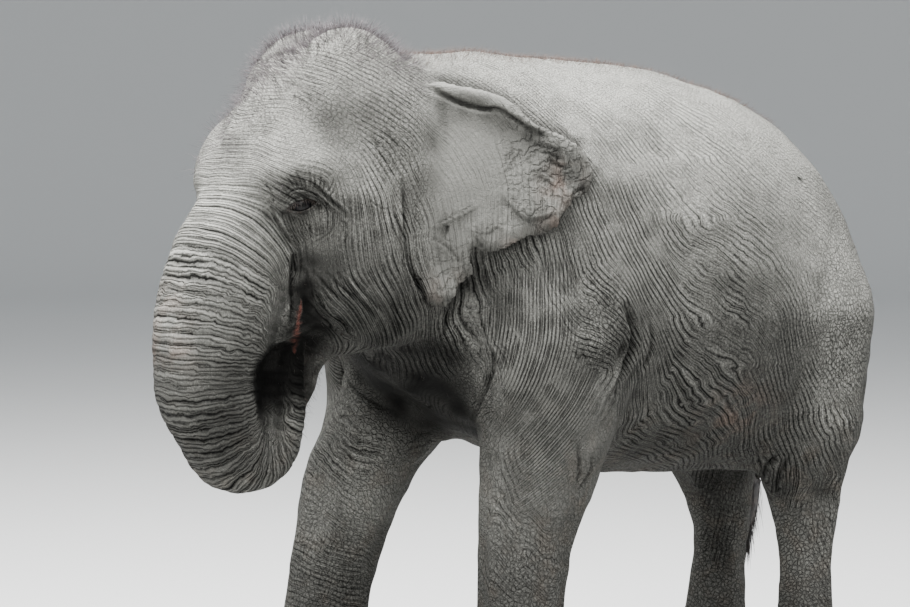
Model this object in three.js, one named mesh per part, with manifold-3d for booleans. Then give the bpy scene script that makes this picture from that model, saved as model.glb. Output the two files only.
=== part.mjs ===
import * as THREE from 'three';
import Module from 'manifold-3d';

const wasm = await Module();
wasm.setup();

// Asian elephant cow, life size, standing and feeding with the trunk curled to the mouth.
// Millimetres. The animal faces -Y, its left side is +X and the ground is Z = 0.

const GAP = 0.4;
const HEAD_CELL = 78;
const JAW_CELL = 54;
const NECK_CELL = 150;
const LEG_CELL = 121;
const FOOT_CELL = 121;
const SHOULDER_CELL = 136;
const TORSO_CELL = 168;
const TIP_CELL = 68;
// Moves the finished animal so that the ground under its middle is the origin.
const CENTRE_Y = 309;

// Torso profile at stations along Y: back line, belly line and half width.
const TORSO = [
  { y: -900, top: 2385, bottom: 1290, half: 330 },
  { y: -600, top: 2392, bottom: 1105, half: 470 },
  { y: -250, top: 2386, bottom: 975, half: 590 },
  { y: 100, top: 2358, bottom: 940, half: 640 },
  { y: 450, top: 2288, bottom: 925, half: 590 },
  { y: 750, top: 2180, bottom: 965, half: 455 },
  { y: 1000, top: 2045, bottom: 1150, half: 320 },
];
const CHEST_END = -880;
const CHEST_CAP = 200;
const RUMP_END = 650;
const RUMP_CAP = 400;

// Trunk centre line: Y, Z and radius, from the brow down, round and up into the mouth.
const TRUNK = [
  [-1360, 2060, 190],
  [-1478, 1880, 180],
  [-1605, 1700, 182],
  [-1668, 1500, 172],
  [-1672, 1300, 156],
  [-1632, 1170, 131],
  [-1555, 1100, 106],
  [-1478, 1092, 92],
  [-1428, 1132, 87],
  [-1424, 1215, 80],
  [-1420, 1320, 74],
  [-1405, 1430, 66],
  [-1375, 1520, 58],
];
const TRUNK_TURN_Y = -1506;
const TRUNK_CUT_Z = 1400;
const MOUTH_GAP = 9;

// Legs from the body down to the sole: Y, Z, radius. X is the distance from the midline.
const FORE_X = 365;
const HIND_X = 315;
const FORE_LEFT = [
  [-560, 1560, 265],
  [-560, 1300, 240],
  [-590, 1080, 200],
  [-650, 850, 162],
  [-680, 600, 150],
  [-685, 320, 138],
  [-690, 150, 152],
  [-700, 40, 178],
];
const FORE_RIGHT = [
  [-580, 1560, 265],
  [-630, 1300, 235],
  [-715, 1100, 198],
  [-820, 880, 165],
  [-900, 620, 148],
  [-955, 320, 138],
  [-985, 150, 152],
  [-1000, 40, 178],
];
const HIND_LEFT = [
  [680, 1450, 285],
  [705, 1180, 225],
  [715, 950, 155],
  [722, 780, 120],
  [728, 580, 101],
  [725, 350, 112],
  [722, 160, 140],
  [710, 40, 160],
];
const HIND_RIGHT = [
  [720, 1450, 285],
  [790, 1180, 230],
  [865, 950, 178],
  [918, 760, 126],
  [920, 600, 104],
  [900, 350, 116],
  [880, 160, 142],
  [860, 40, 160],
];
const LEG_CUTS = [1130, 640, 215];

// Tail from the rump down, carried to the right: X, Y, Z, radius.
const TAIL = [
  [0, 800, 1880, 60],
  [0, 985, 1830, 62],
  [-20, 1125, 1690, 46],
  [-70, 1185, 1430, 34],
  [-175, 1190, 1140, 26],
  [-300, 1160, 880, 20],
  [-350, 1145, 780, 17],
];
const TUFT = [
  [-340, 1147, 805, 17],
  [-366, 1138, 735, 38],
  [-386, 1130, 650, 44],
  [-402, 1124, 540, 14],
];

// Ear: outline in its own plane, distance back from the root line and height.
const EAR_ROOT = [345, -1080];
const EAR_ANGLE = 38.5;
const EAR_MIDDLE = [120, 1930];
const EAR_OUTLINE = [
  [10, 2292],
  [135, 2262],
  [240, 2226],
  [365, 2147],
  [470, 2080],
  [525, 2030],
  [532, 1975],
  [505, 1905],
  [425, 1850],
  [333, 1807],
  [238, 1772],
  [165, 1778],
  [150, 1715],
  [118, 1655],
  [88, 1604],
  [50, 1590],
  [5, 1620],
  [-50, 1705],
  [-75, 1800],
  [-60, 1900],
  [-18, 2010],
  [0, 2120],
  [-8, 2210],
];
const EAR_SPOKES = 20;
const EAR_THICK = 17;
const EAR_ROOT_THICK = 46;
const EAR_RIM_FOLD = 34;
const EAR_LEAN = 135;

const EYE = [247, -1477, 1921];
const EYE_RADIUS = 27;

const NAIL = [34, 15, 31];
const NAIL_HEIGHT = 46;
const FORE_NAILS = [-66, -34, 0, 34, 66];
const HIND_NAILS = [-50, -17, 17, 50];

const SKIN = 0x8d867b;
const EAR_SKIN = 0x8f877e;
const TRUNK_SKIN = 0x7d776e;
const TAIL_HAIR = 0x1d1a18;
const EYE_BLACK = 0x17110d;
const NAIL_HORN = 0x9a8c78;

const clamp = (v, lo, hi) => Math.min(hi, Math.max(lo, v));

// Joins two bodies with a fillet of about this size.
function blend(a, b, fillet) {
  const h = Math.max(fillet - Math.abs(a - b), 0) / fillet;
  return Math.min(a, b) - (h * h * fillet) / 4;
}

function carve(a, b, fillet) {
  return -blend(-a, b, fillet);
}

function ball([x, y, z], [cx, cy, cz], [rx, ry, rz]) {
  const u = (x - cx) / rx;
  const v = (y - cy) / ry;
  const w = (z - cz) / rz;
  const k = Math.hypot(u, v, w);
  const g = Math.hypot(u / rx, v / ry, w / rz);
  return g < 1e-9 ? -Math.min(rx, ry, rz) : (k * (k - 1)) / g;
}

function limb([x, y, z], [ax, ay, az, ar], [bx, by, bz, br]) {
  const ex = bx - ax;
  const ey = by - ay;
  const ez = bz - az;
  const h = clamp(((x - ax) * ex + (y - ay) * ey + (z - az) * ez) / (ex * ex + ey * ey + ez * ez), 0, 1);
  return Math.hypot(x - ax - ex * h, y - ay - ey * h, z - az - ez * h) - ar - (br - ar) * h;
}

// A smooth tube through stations [x, y, z, radius].
class Tube {
  constructor(stations, steps) {
    const at = new THREE.CatmullRomCurve3(stations.map(([x, y, z]) => new THREE.Vector3(x, y, z)));
    const radii = stations.map(([, , , r], i) => new THREE.Vector3(i * 100, r, 0));
    const radius = new THREE.CatmullRomCurve3(radii);
    this.points = [];
    for (let i = 0; i <= steps; i += 1) {
      const p = at.getPoint(i / steps);
      this.points.push([p.x, p.y, p.z, radius.getPoint(i / steps).y]);
    }
  }

  distance(p) {
    let d = Infinity;
    for (let i = 1; i < this.points.length; i += 1) {
      d = Math.min(d, limb(p, this.points[i - 1], this.points[i]));
    }
    return d;
  }
}

const LEGS = [
  { name: 'fore_left', x: FORE_X, rows: FORE_LEFT, nails: FORE_NAILS },
  { name: 'fore_right', x: -FORE_X, rows: FORE_RIGHT, nails: FORE_NAILS },
  { name: 'hind_left', x: HIND_X, rows: HIND_LEFT, nails: HIND_NAILS },
  { name: 'hind_right', x: -HIND_X, rows: HIND_RIGHT, nails: HIND_NAILS },
];
for (const leg of LEGS) {
  leg.tube = new Tube(leg.rows.map(([y, z, r]) => [leg.x, y, z, r]), 21);
}
const trunkTube = new Tube(TRUNK.map(([y, z, r]) => [0, y, z, r]), 44);
const trunkRoot = new Tube(TRUNK.slice(0, 6).map(([y, z, r]) => [0, y, z, r]), 20);

const profile = {};
for (const key of ['top', 'bottom', 'half']) {
  profile[key] = new THREE.SplineCurve(TORSO.map((s) => new THREE.Vector2(s.y, s[key])));
}

// Value of a torso profile at this Y.
function station(key, y) {
  const first = TORSO[0].y;
  const last = TORSO[TORSO.length - 1].y;
  const yy = clamp(y, first, last);
  let i = 0;
  while (i < TORSO.length - 2 && TORSO[i + 1].y < yy) {
    i += 1;
  }
  const t = (yy - TORSO[i].y) / (TORSO[i + 1].y - TORSO[i].y);
  return profile[key].getPoint((i + t) / (TORSO.length - 1)).y;
}

function barrel([x, y, z]) {
  const top = station('top', y);
  const bottom = station('bottom', y);
  const half = station('half', y);
  const middle = (top + bottom) / 2 - 60;
  const tall = z > middle ? top - middle : middle - bottom;
  const over = y < CHEST_END ? (CHEST_END - y) / CHEST_CAP : Math.max(0, (y - RUMP_END) / RUMP_CAP);
  const ring = Math.hypot(x / half, (z - middle) / tall, over);
  return (ring - 1) * Math.min(half, tall) * 0.85;
}

// Barrel, shoulders, haunches and neck. The fields below are in the half space X > 0.
function torso(q) {
  let d = barrel(q);
  d = blend(d, ball(q, [390, -540, 1560], [150, 260, 500]), 160);
  d = blend(d, ball(q, [280, 620, 1470], [210, 315, 480]), 200);
  d = blend(d, limb(q, [0, -1080, 1980, 315], [0, -720, 1870, 460]), 160);
  return d;
}

function jaw(q) {
  let d = limb(q, [185, -1080, 1590, 125], [85, -1190, 1510, 85]);
  d = blend(d, limb(q, [85, -1190, 1510, 85], [0, -1235, 1450, 72]), 50);
  d = blend(d, limb(q, [0, -1235, 1450, 72], [0, -1300, 1272, 32]), 30);
  return d;
}

function skull(q) {
  let d = limb(q, [45, -1160, 2130, 288], [40, -1290, 2065, 258]);
  d = blend(d, ball(q, [115, -1190, 2262], [145, 210, 215]), 90);
  d = blend(d, ball(q, [215, -1385, 2010], [110, 145, 115]), 120);
  d = blend(d, ball(q, [200, -1170, 1740], [150, 230, 280]), 140);
  d = blend(d, trunkRoot.distance(q), 110);
  d = carve(d, ball(q, [370, -1290, 2130], [90, 120, 120]), 90);
  d = blend(d, limb(q, [110, -1330, 1690, 105], [75, -1475, 1545, 80]), 80);
  d = blend(d, jaw(q), 60);
  d = blend(d, ball(q, [0, -1320, 1590], [130, 120, 110]), 60);
  return d;
}

function flesh(p) {
  const q = [Math.abs(p[0]), p[1], p[2]];
  let d = blend(torso(q), skull(q), 120);
  for (const leg of LEGS) {
    d = blend(d, leg.tube.distance(p), 90);
  }
  return d;
}

// Closed surface of a field inside a box, as a manifold solid.
function solidOf(field, low, high, cell) {
  const n = low.map((v, i) => Math.ceil((high[i] - v) / cell) + 3);
  const start = low.map((v) => v - cell);
  const at = (i, j, k) => [start[0] + i * cell, start[1] + j * cell, start[2] + k * cell];
  const boxed = (p) => {
    const out = Math.max(...p.map((value, axis) => Math.max(low[axis] - value, value - high[axis])));
    return Math.max(field(p), out);
  };
  const index = (i, j, k) => (k * (n[1] + 1) + j) * (n[0] + 1) + i;
  const values = new Float64Array((n[0] + 1) * (n[1] + 1) * (n[2] + 1));
  for (let k = 0; k <= n[2]; k += 1) {
    for (let j = 0; j <= n[1]; j += 1) {
      for (let i = 0; i <= n[0]; i += 1) {
        values[index(i, j, k)] = boxed(at(i, j, k)) || 1e-6;
      }
    }
  }
  const vertexOf = new Map();
  const points = [];
  const corners = [0, 1, 2, 3, 4, 5, 6, 7].map((c) => [c & 1, (c >> 1) & 1, (c >> 2) & 1]);
  for (let k = 0; k < n[2]; k += 1) {
    for (let j = 0; j < n[1]; j += 1) {
      for (let i = 0; i < n[0]; i += 1) {
        const v = corners.map(([a, b, c]) => values[index(i + a, j + b, k + c)]);
        if (v.every((x) => x > 0) || v.every((x) => x < 0)) {
          continue;
        }
        const sum = [0, 0, 0];
        let count = 0;
        for (let a = 0; a < 8; a += 1) {
          for (const bit of [1, 2, 4]) {
            const b = a | bit;
            if (b !== a && v[a] < 0 !== v[b] < 0) {
              const t = v[a] / (v[a] - v[b]);
              for (let m = 0; m < 3; m += 1) {
                sum[m] += corners[a][m] + (corners[b][m] - corners[a][m]) * t;
              }
              count += 1;
            }
          }
        }
        const p = [i, j, k].map((c, m) => start[m] + (c + sum[m] / count) * cell);
        vertexOf.set(index(i, j, k), points.length);
        points.push(settle(boxed, p, cell));
      }
    }
  }
  const faces = [];
  const around = [[1, 2], [2, 0], [0, 1]];
  for (let k = 1; k < n[2]; k += 1) {
    for (let j = 1; j < n[1]; j += 1) {
      for (let i = 1; i < n[0]; i += 1) {
        const here = [i, j, k];
        for (let axis = 0; axis < 3; axis += 1) {
          const next = here.slice();
          next[axis] += 1;
          const a = values[index(...here)];
          const b = values[index(...next)];
          if (a < 0 === b < 0) {
            continue;
          }
          const [s, t] = around[axis];
          const ring = [[0, 0], [-1, 0], [-1, -1], [0, -1]].map(([ds, dt]) => {
            const cellAt = here.slice();
            cellAt[s] += ds;
            cellAt[t] += dt;
            return vertexOf.get(index(...cellAt));
          });
          const quad = a < 0 ? ring : ring.reverse();
          faces.push(quad[0], quad[1], quad[2], quad[0], quad[2], quad[3]);
        }
      }
    }
  }
  return toSolid(points, faces);
}

// Moves a point onto the surface of the field along its slope.
function settle(field, point, cell) {
  let p = point;
  for (let round = 0; round < 3; round += 1) {
    const d = field(p);
    const e = 1;
    const g = [0, 1, 2].map((m) => {
      const q = p.slice();
      q[m] += e;
      return (field(q) - d) / e;
    });
    const slope = g[0] * g[0] + g[1] * g[1] + g[2] * g[2];
    if (slope < 0.05) {
      return p;
    }
    const step = clamp(d / slope, -cell * 0.3, cell * 0.3);
    p = p.map((c, m) => c - g[m] * step);
  }
  return p;
}

function toSolid(points, faces) {
  const mesh = new wasm.Mesh({
    numProp: 3,
    vertProperties: Float32Array.from(points.flat()),
    triVerts: Uint32Array.from(faces),
  });
  return new wasm.Manifold(mesh);
}

function geometrySolid(geometry) {
  const position = geometry.getAttribute('position');
  const keys = new Map();
  const points = [];
  const map = [];
  for (let i = 0; i < position.count; i += 1) {
    const p = [position.getX(i), position.getY(i), position.getZ(i)];
    const key = p.map((c) => Math.round(c * 1000)).join(',');
    if (!keys.has(key)) {
      keys.set(key, points.length);
      points.push(p);
    }
    map.push(keys.get(key));
  }
  const faces = [];
  const order = geometry.index.array;
  for (let i = 0; i < order.length; i += 3) {
    const [a, b, c] = [map[order[i]], map[order[i + 1]], map[order[i + 2]]];
    if (a !== b && b !== c && c !== a) {
      faces.push(a, b, c);
    }
  }
  return toSolid(points, faces);
}

// Box between two corners, turned about X at its middle, as a solid.
function block(low, high, turn = 0) {
  const geometry = new THREE.BoxGeometry(...high.map((v, i) => v - low[i]));
  geometry.rotateX((turn * Math.PI) / 180);
  geometry.translate(...high.map((v, i) => (v + low[i]) / 2));
  return geometrySolid(geometry);
}

function ellipsoidSolid(centre, radii, turn, grow, sides = 6) {
  const geometry = new THREE.SphereGeometry(1, sides, Math.round(sides * 0.7));
  geometry.scale(radii[0] + grow, radii[1] + grow, radii[2] + grow);
  geometry.rotateZ((turn * Math.PI) / 180);
  geometry.translate(...centre);
  return geometrySolid(geometry);
}

// The biggest body of a cut solid, without the slivers that the cuts leave.
function biggest(solid) {
  const bodies = solid.decompose();
  bodies.sort((a, b) => b.volume() - a.volume());
  return bodies[0];
}

function eyeSolid(side, grow) {
  return ellipsoidSolid([side * EYE[0], EYE[1], EYE[2]], [EYE_RADIUS, EYE_RADIUS, EYE_RADIUS], 0, grow, 10);
}

// Ear plate as rings round its middle, front face then back face.
function earSolid(side, grow) {
  const outline = new THREE.CatmullRomCurve3(
    EAR_OUTLINE.map(([s, t]) => new THREE.Vector3(s, t, 0)),
    true,
  );
  const turn = (EAR_ANGLE * Math.PI) / 180;
  const along = [Math.sin(turn), Math.cos(turn)];
  const out = [Math.cos(turn), -Math.sin(turn)];
  const steps = [0, 0.42, 0.72, 0.92, 1];
  const place = (s, t, w) => [
    side * (EAR_ROOT[0] + along[0] * s + out[0] * w),
    EAR_ROOT[1] + along[1] * s + out[1] * w,
    t,
  ];
  const points = [];
  const ringAt = [];
  const lay = (k, face) => {
    const start = points.length;
    for (let i = 0; i < (k === 0 ? 1 : EAR_SPOKES); i += 1) {
      const rim = outline.getPoint(i / EAR_SPOKES);
      const reach = steps[k] * (1 + grow / 180);
      const s = EAR_MIDDLE[0] + (rim.x - EAR_MIDDLE[0]) * reach;
      const t = EAR_MIDDLE[1] + (rim.y - EAR_MIDDLE[1]) * reach;
      const root = clamp((70 - s) / 120, 0, 1);
      const upper = clamp((t - 1950) / 200, 0, 1);
      const fold = EAR_RIM_FOLD * upper * steps[k] ** 12 * (1 - root);
      const lean = EAR_LEAN * clamp((t - 1880) / 410, 0, 1) ** 1.5;
      const middle = -12 * (1 - steps[k] ** 2) * (1 - root) + fold * 0.5 - 8 * root - lean;
      const half = (EAR_THICK + (EAR_ROOT_THICK - EAR_THICK) * root + fold * 0.8) / 2 + grow;
      const thin = Math.sqrt(Math.max(0.06, 1 - steps[k] ** 10));
      points.push(place(s, t, middle + face * half * thin));
    }
    ringAt.push(start);
  };
  for (let k = 0; k < steps.length; k += 1) {
    lay(k, 1);
  }
  for (let k = steps.length - 1; k >= 0; k -= 1) {
    lay(k, -1);
  }
  const faces = [];
  const add = (a, b, c) => (side > 0 ? faces.push(a, c, b) : faces.push(a, b, c));
  for (let k = 1; k < ringAt.length; k += 1) {
    for (let i = 0; i < EAR_SPOKES; i += 1) {
      const j = (i + 1) % EAR_SPOKES;
      const [a, b] = [ringAt[k - 1], ringAt[k]];
      if (k === 1) {
        add(a, b + i, b + j);
      } else if (k === ringAt.length - 1) {
        add(a + i, b, a + j);
      } else {
        add(a + i, b + i, b + j);
        add(a + i, b + j, a + j);
      }
    }
  }
  return toSolid(points, faces);
}

// Round-ended sweep through stations [x, y, z, radius].
function sweepSolid(stations, rings, sides, grow) {
  const tube = new Tube(stations, rings);
  const path = tube.points.map(([x, y, z]) => new THREE.Vector3(x, y, z));
  const points = [];
  const faces = [];
  const across = new THREE.Vector3(1, 0, 0);
  path.forEach((p, i) => {
    const ahead = path[Math.min(i + 1, path.length - 1)].clone();
    const along = ahead.sub(path[Math.max(i - 1, 0)]).normalize();
    const end = i === 0 ? -grow : i === path.length - 1 ? grow : 0;
    p.addScaledVector(along, end);
    const u = across.clone().addScaledVector(along, -across.dot(along)).normalize();
    const v = new THREE.Vector3().crossVectors(along, u);
    const r = tube.points[i][3] + grow;
    for (let k = 0; k < sides; k += 1) {
      const a = (2 * Math.PI * k) / sides;
      const q = p.clone().addScaledVector(u, r * Math.cos(a)).addScaledVector(v, r * Math.sin(a));
      points.push(q.toArray());
    }
  });
  const first = points.length;
  points.push(path[0].toArray(), path[path.length - 1].toArray());
  for (let k = 0; k < sides; k += 1) {
    const next = (k + 1) % sides;
    faces.push(first, next, k);
    for (let i = 0; i < path.length - 1; i += 1) {
      const a = i * sides;
      const b = a + sides;
      faces.push(a + k, a + next, b + next, a + k, b + next, b + k);
    }
    const last = (path.length - 1) * sides;
    faces.push(first + 1, last + k, last + next);
  }
  return toSolid(points, faces);
}

const group = new THREE.Group();

function addNode(name, solid, colour, roughness) {
  const mesh = solid.getMesh();
  const geometry = new THREE.BufferGeometry();
  const count = mesh.vertProperties.length / mesh.numProp;
  const flat = new Float32Array(count * 3);
  for (let i = 0; i < count; i += 1) {
    for (let m = 0; m < 3; m += 1) {
      flat[i * 3 + m] = mesh.vertProperties[i * mesh.numProp + m];
    }
  }
  geometry.setAttribute('position', new THREE.BufferAttribute(flat, 3));
  geometry.setIndex(new THREE.BufferAttribute(Uint32Array.from(mesh.triVerts), 1));
  geometry.translate(0, CENTRE_Y, 0);
  geometry.computeVertexNormals();
  const node = new THREE.Mesh(
    geometry,
    new THREE.MeshStandardMaterial({ color: colour, roughness, metalness: 0 }),
  );
  node.name = name;
  group.add(node);
}

// The flesh is one form parted by thin cuts. Each region takes what the earlier ones left.
const regions = [
  {
    name: 'trunk_upper',
    low: [-300, -2000, TRUNK_CUT_Z - 100],
    high: [300, -1440, 1800],
    turn: -14,
    cell: HEAD_CELL,
  },
  { name: 'jaw', low: [-420, -1420, 1150], high: [420, -1060, 1545], cell: JAW_CELL },
  { name: 'head', low: [-520, -1900, 1400], high: [520, -1060, 2700], cell: HEAD_CELL },
  { name: 'neck', low: [-700, -1060, 1150], high: [700, -800, 2700], cell: NECK_CELL },
];
for (const leg of LEGS) {
  const ys = leg.rows.slice(2).map((row) => row[0]);
  const near = leg.x > 0 ? 140 : -760;
  const low = [near, Math.min(...ys) - 330, 0];
  const high = [near + 620, Math.max(...ys) + 330, 0];
  const cuts = [...LEG_CUTS, 0];
  ['upper', 'lower', 'foot'].forEach((part, i) => {
    regions.push({
      name: `${leg.name}_${part}`,
      low: [low[0], low[1], cuts[i + 1]],
      high: [high[0], high[1], cuts[i]],
      cell: part === 'foot' ? FOOT_CELL : LEG_CELL,
      leg: part === 'foot' ? leg : null,
    });
  });
}
regions.push({ name: 'torso_front', low: [-900, -1150, 500], high: [900, -230, 2600], cell: SHOULDER_CELL });
regions.push({ name: 'torso_middle', low: [-900, -230, 500], high: [900, 420, 2600], cell: TORSO_CELL });
regions.push({ name: 'torso_rear', low: [-900, 420, 500], high: [900, 1400, 2600], cell: TORSO_CELL });

const tail = sweepSolid(TAIL, 12, 8, 0);
const ears = [1, -1].map((side) => earSolid(side, 0));
const sockets = [
  sweepSolid(TAIL, 12, 8, GAP),
  earSolid(1, GAP),
  earSolid(-1, GAP),
  eyeSolid(1, GAP),
  eyeSolid(-1, GAP),
];
const curled = block([-300, -2100, 900], [300, -1440, TRUNK_CUT_Z]);
const taken = [curled];

for (const region of regions) {
  const { low, high, turn = 0, cell } = region;
  const slack = turn ? 160 : cell * 1.5;
  const reachLow = low.map((v) => v - slack);
  const reachHigh = high.map((v) => v + slack);
  let solid = solidOf(flesh, reachLow, reachHigh, cell);
  solid = solid.intersect(block(low, high, turn));
  for (const other of taken) {
    solid = solid.subtract(other);
  }
  for (const socket of sockets) {
    solid = solid.subtract(socket);
  }
  taken.push(block(low.map((v) => v - GAP), high.map((v) => v + GAP), turn));
  if (region.leg) {
    const { leg } = region;
    const [y, , r] = leg.rows[leg.rows.length - 1];
    leg.nails.forEach((angle, i) => {
      const a = (angle * Math.PI) / 180;
      const reach = r - 7;
      const centre = [leg.x + reach * Math.sin(a), y - reach * Math.cos(a), NAIL_HEIGHT];
      solid = solid.subtract(ellipsoidSolid(centre, NAIL, angle, GAP));
      addNode(`${leg.name}_nail_${i + 1}`, ellipsoidSolid(centre, NAIL, angle, 0), NAIL_HORN, 0.6);
    });
  }
  addNode(region.name, biggest(solid), region.name === 'trunk_upper' ? TRUNK_SKIN : SKIN, 0.9);
}

const coilTop = TRUNK_CUT_Z + 150;
const coil = solidOf((p) => trunkTube.distance(p), [-300, -2000, 900], [300, -1100, coilTop], TIP_CELL);
const below = block([-300, -2100, 900], [300, TRUNK_TURN_Y, TRUNK_CUT_Z - GAP]);
const rising = block([-300, TRUNK_TURN_Y + GAP, 900], [300, -1000, TRUNK_CUT_Z + 150]);
addNode('trunk_lower', coil.intersect(below), TRUNK_SKIN, 0.9);
const mouth = solidOf((p) => flesh(p) - MOUTH_GAP, [-420, -1640, 1150], [420, -1060, 1700], JAW_CELL);
const proximal = block([-300, -2100, 900], [300, -1440, TRUNK_CUT_Z - GAP]);
addNode('trunk_tip', coil.intersect(rising).subtract(mouth.subtract(proximal)), TRUNK_SKIN, 0.9);

ears.forEach((ear, i) => addNode(i ? 'ear_right' : 'ear_left', ear, EAR_SKIN, 0.9));
addNode('eye_left', eyeSolid(1, 0), EYE_BLACK, 0.15);
addNode('eye_right', eyeSolid(-1, 0), EYE_BLACK, 0.15);
addNode('tail', tail, SKIN, 0.9);
addNode('tail_tuft', sweepSolid(TUFT, 6, 8, 0).subtract(sockets[0]), TAIL_HAIR, 0.9);

export default group;
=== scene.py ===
"""Asian elephant cow, life size, feeding.

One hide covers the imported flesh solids. The eyes, nails and hair are pieces of their own.
Lengths are in metres. The animal faces -Y, its left side is +X and it stands on Z = 0.
Pixels are those of the camera's view, 910 x 607.
"""

import itertools
import math

import bmesh
import bpy
import numpy as np
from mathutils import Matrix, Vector


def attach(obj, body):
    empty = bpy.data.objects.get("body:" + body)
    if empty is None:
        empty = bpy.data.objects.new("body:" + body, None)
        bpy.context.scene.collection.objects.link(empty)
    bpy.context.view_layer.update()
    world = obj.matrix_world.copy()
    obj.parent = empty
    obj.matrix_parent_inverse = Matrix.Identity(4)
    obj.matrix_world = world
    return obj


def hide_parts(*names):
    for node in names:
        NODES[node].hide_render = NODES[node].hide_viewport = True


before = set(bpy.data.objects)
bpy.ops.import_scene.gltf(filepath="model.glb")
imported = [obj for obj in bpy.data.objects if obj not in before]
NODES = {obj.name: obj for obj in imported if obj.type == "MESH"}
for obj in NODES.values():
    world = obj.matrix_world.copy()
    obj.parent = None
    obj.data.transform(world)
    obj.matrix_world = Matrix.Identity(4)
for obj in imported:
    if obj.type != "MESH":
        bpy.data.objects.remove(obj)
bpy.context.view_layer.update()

# ---------------------------------------------------------------- camera

VIEW_WIDTH, VIEW_HEIGHT = 910, 607
CAMERA_AZIMUTH = math.radians(50)
CAMERA_ELEVATION = math.radians(4)
CAMERA_DISTANCE = 10.19
CAMERA_TARGET = Vector((0, -0.343, 1.564))
FOCAL_PIXELS = 3041
SENSOR = 36

BACK = Vector((
    math.sin(CAMERA_AZIMUTH) * math.cos(CAMERA_ELEVATION),
    -math.cos(CAMERA_AZIMUTH) * math.cos(CAMERA_ELEVATION),
    math.sin(CAMERA_ELEVATION),
))
RIGHT = Vector((math.cos(CAMERA_AZIMUTH), math.sin(CAMERA_AZIMUTH), 0))
UP = BACK.cross(RIGHT)
CAMERA_PLACE = CAMERA_TARGET + BACK * CAMERA_DISTANCE


def sight(pixel):
    """Direction from the camera through a pixel."""
    across = (pixel[0] - VIEW_WIDTH / 2) / FOCAL_PIXELS
    down = (pixel[1] - VIEW_HEIGHT / 2) / FOCAL_PIXELS
    return (RIGHT * across - UP * down - BACK).normalized()


def add_camera():
    data = bpy.data.cameras.new("camera")
    camera = bpy.data.objects.new("camera", data)
    bpy.context.scene.collection.objects.link(camera)
    data.sensor_width = SENSOR
    data.lens = FOCAL_PIXELS / VIEW_WIDTH * SENSOR
    data.clip_end = 500
    camera.location = CAMERA_PLACE
    camera.rotation_euler = (-BACK).to_track_quat("-Z", "Y").to_euler()
    bpy.context.scene.camera = camera


# ---------------------------------------------------------------- mesh helpers


def new_object(name, mesh):
    thing = bpy.data.objects.new(name, mesh)
    bpy.context.scene.collection.objects.link(thing)
    return thing


def only(*things):
    """Selects these objects and no others, the first one active."""
    bpy.ops.object.select_all(action="DESELECT")
    for thing in things:
        thing.select_set(True)
    bpy.context.view_layer.objects.active = things[0]


def join(first, *others):
    only(first, *others)
    bpy.ops.object.join()
    return first


def apply_modifier(thing, kind, **settings):
    only(thing)
    modifier = thing.modifiers.new(kind.lower(), kind)
    for key, value in settings.items():
        setattr(modifier, key, value)
    bpy.ops.object.modifier_apply(modifier=modifier.name)


def places(mesh):
    flat = np.empty(len(mesh.vertices) * 3)
    mesh.vertices.foreach_get("co", flat)
    return flat.reshape(-1, 3)


def set_places(mesh, co):
    mesh.vertices.foreach_set("co", co.ravel())
    mesh.update()


def normals(mesh):
    flat = np.empty(len(mesh.vertices) * 3)
    mesh.vertex_normals.foreach_get("vector", flat)
    return flat.reshape(-1, 3)


def edges(mesh):
    flat = np.empty(len(mesh.edges) * 2, np.int64)
    mesh.edges.foreach_get("vertices", flat)
    return flat.reshape(-1, 2)


def step(value, low, high):
    """Smooth rise from 0 at low to 1 at high."""
    t = np.clip((value - low) / (high - low), 0, 1)
    return t * t * (3 - 2 * t)


def near(co, centre, radius):
    """Soft spot: 1 at the centre, fading to nothing at about twice the radius."""
    return np.exp(-((co - np.array(centre)) ** 2).sum(1) / radius**2)


def folded(co):
    """The places with those of the right side laid over on the left."""
    return np.c_[np.abs(co[:, 0]), co[:, 1:]]


def curve_through(points, spacing):
    """Points along a smooth curve through the given ones, about this far apart."""
    points = np.asarray(points, float)
    if len(points) < 2:
        return points
    ends = np.vstack([2 * points[0] - points[1], points, 2 * points[-1] - points[-2]])
    run = []
    for i in range(1, len(ends) - 2):
        a, b, c, d = ends[i - 1:i + 3]
        count = max(1, round(float(np.linalg.norm(c - b)) / spacing))
        for k in range(count):
            t = k / count
            pull = (c - a) * t + (2 * a - 5 * b + 4 * c - d) * t**2 + (3 * b - a - 3 * c + d) * t**3
            run.append(b + 0.5 * pull)
    run.append(points[-1])
    return np.array(run)


def noise(points, seed=0):
    """Smooth random values from -1 to 1, about one wave per unit of length."""
    base = np.floor(points).astype(np.int64)
    part = points - base
    part = part * part * (3 - 2 * part)
    total = np.zeros(len(points))
    for corner in itertools.product((0, 1), repeat=3):
        cell = base + corner
        h = cell[:, 0] * 73856093 ^ cell[:, 1] * 19349663 ^ cell[:, 2] * 83492791 ^ (seed * 7919 + 13)
        h = (h * 2654435761) & 0xFFFFFFFF
        h = ((h >> 15) ^ h) * 2246822519 & 0xFFFFFFFF
        value = (h >> 8 & 0xFFFF) / 32767.5 - 1
        weight = np.where(corner, part, 1 - part).prod(1)
        total += weight * value
    return total


# Shares by which a value or vertex goes to the mean of its neighbours, and a vertex back out again.
EVEN_SHARE = 0.6
RELAX_IN, RELAX_OUT = 0.5, -0.53


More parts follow.
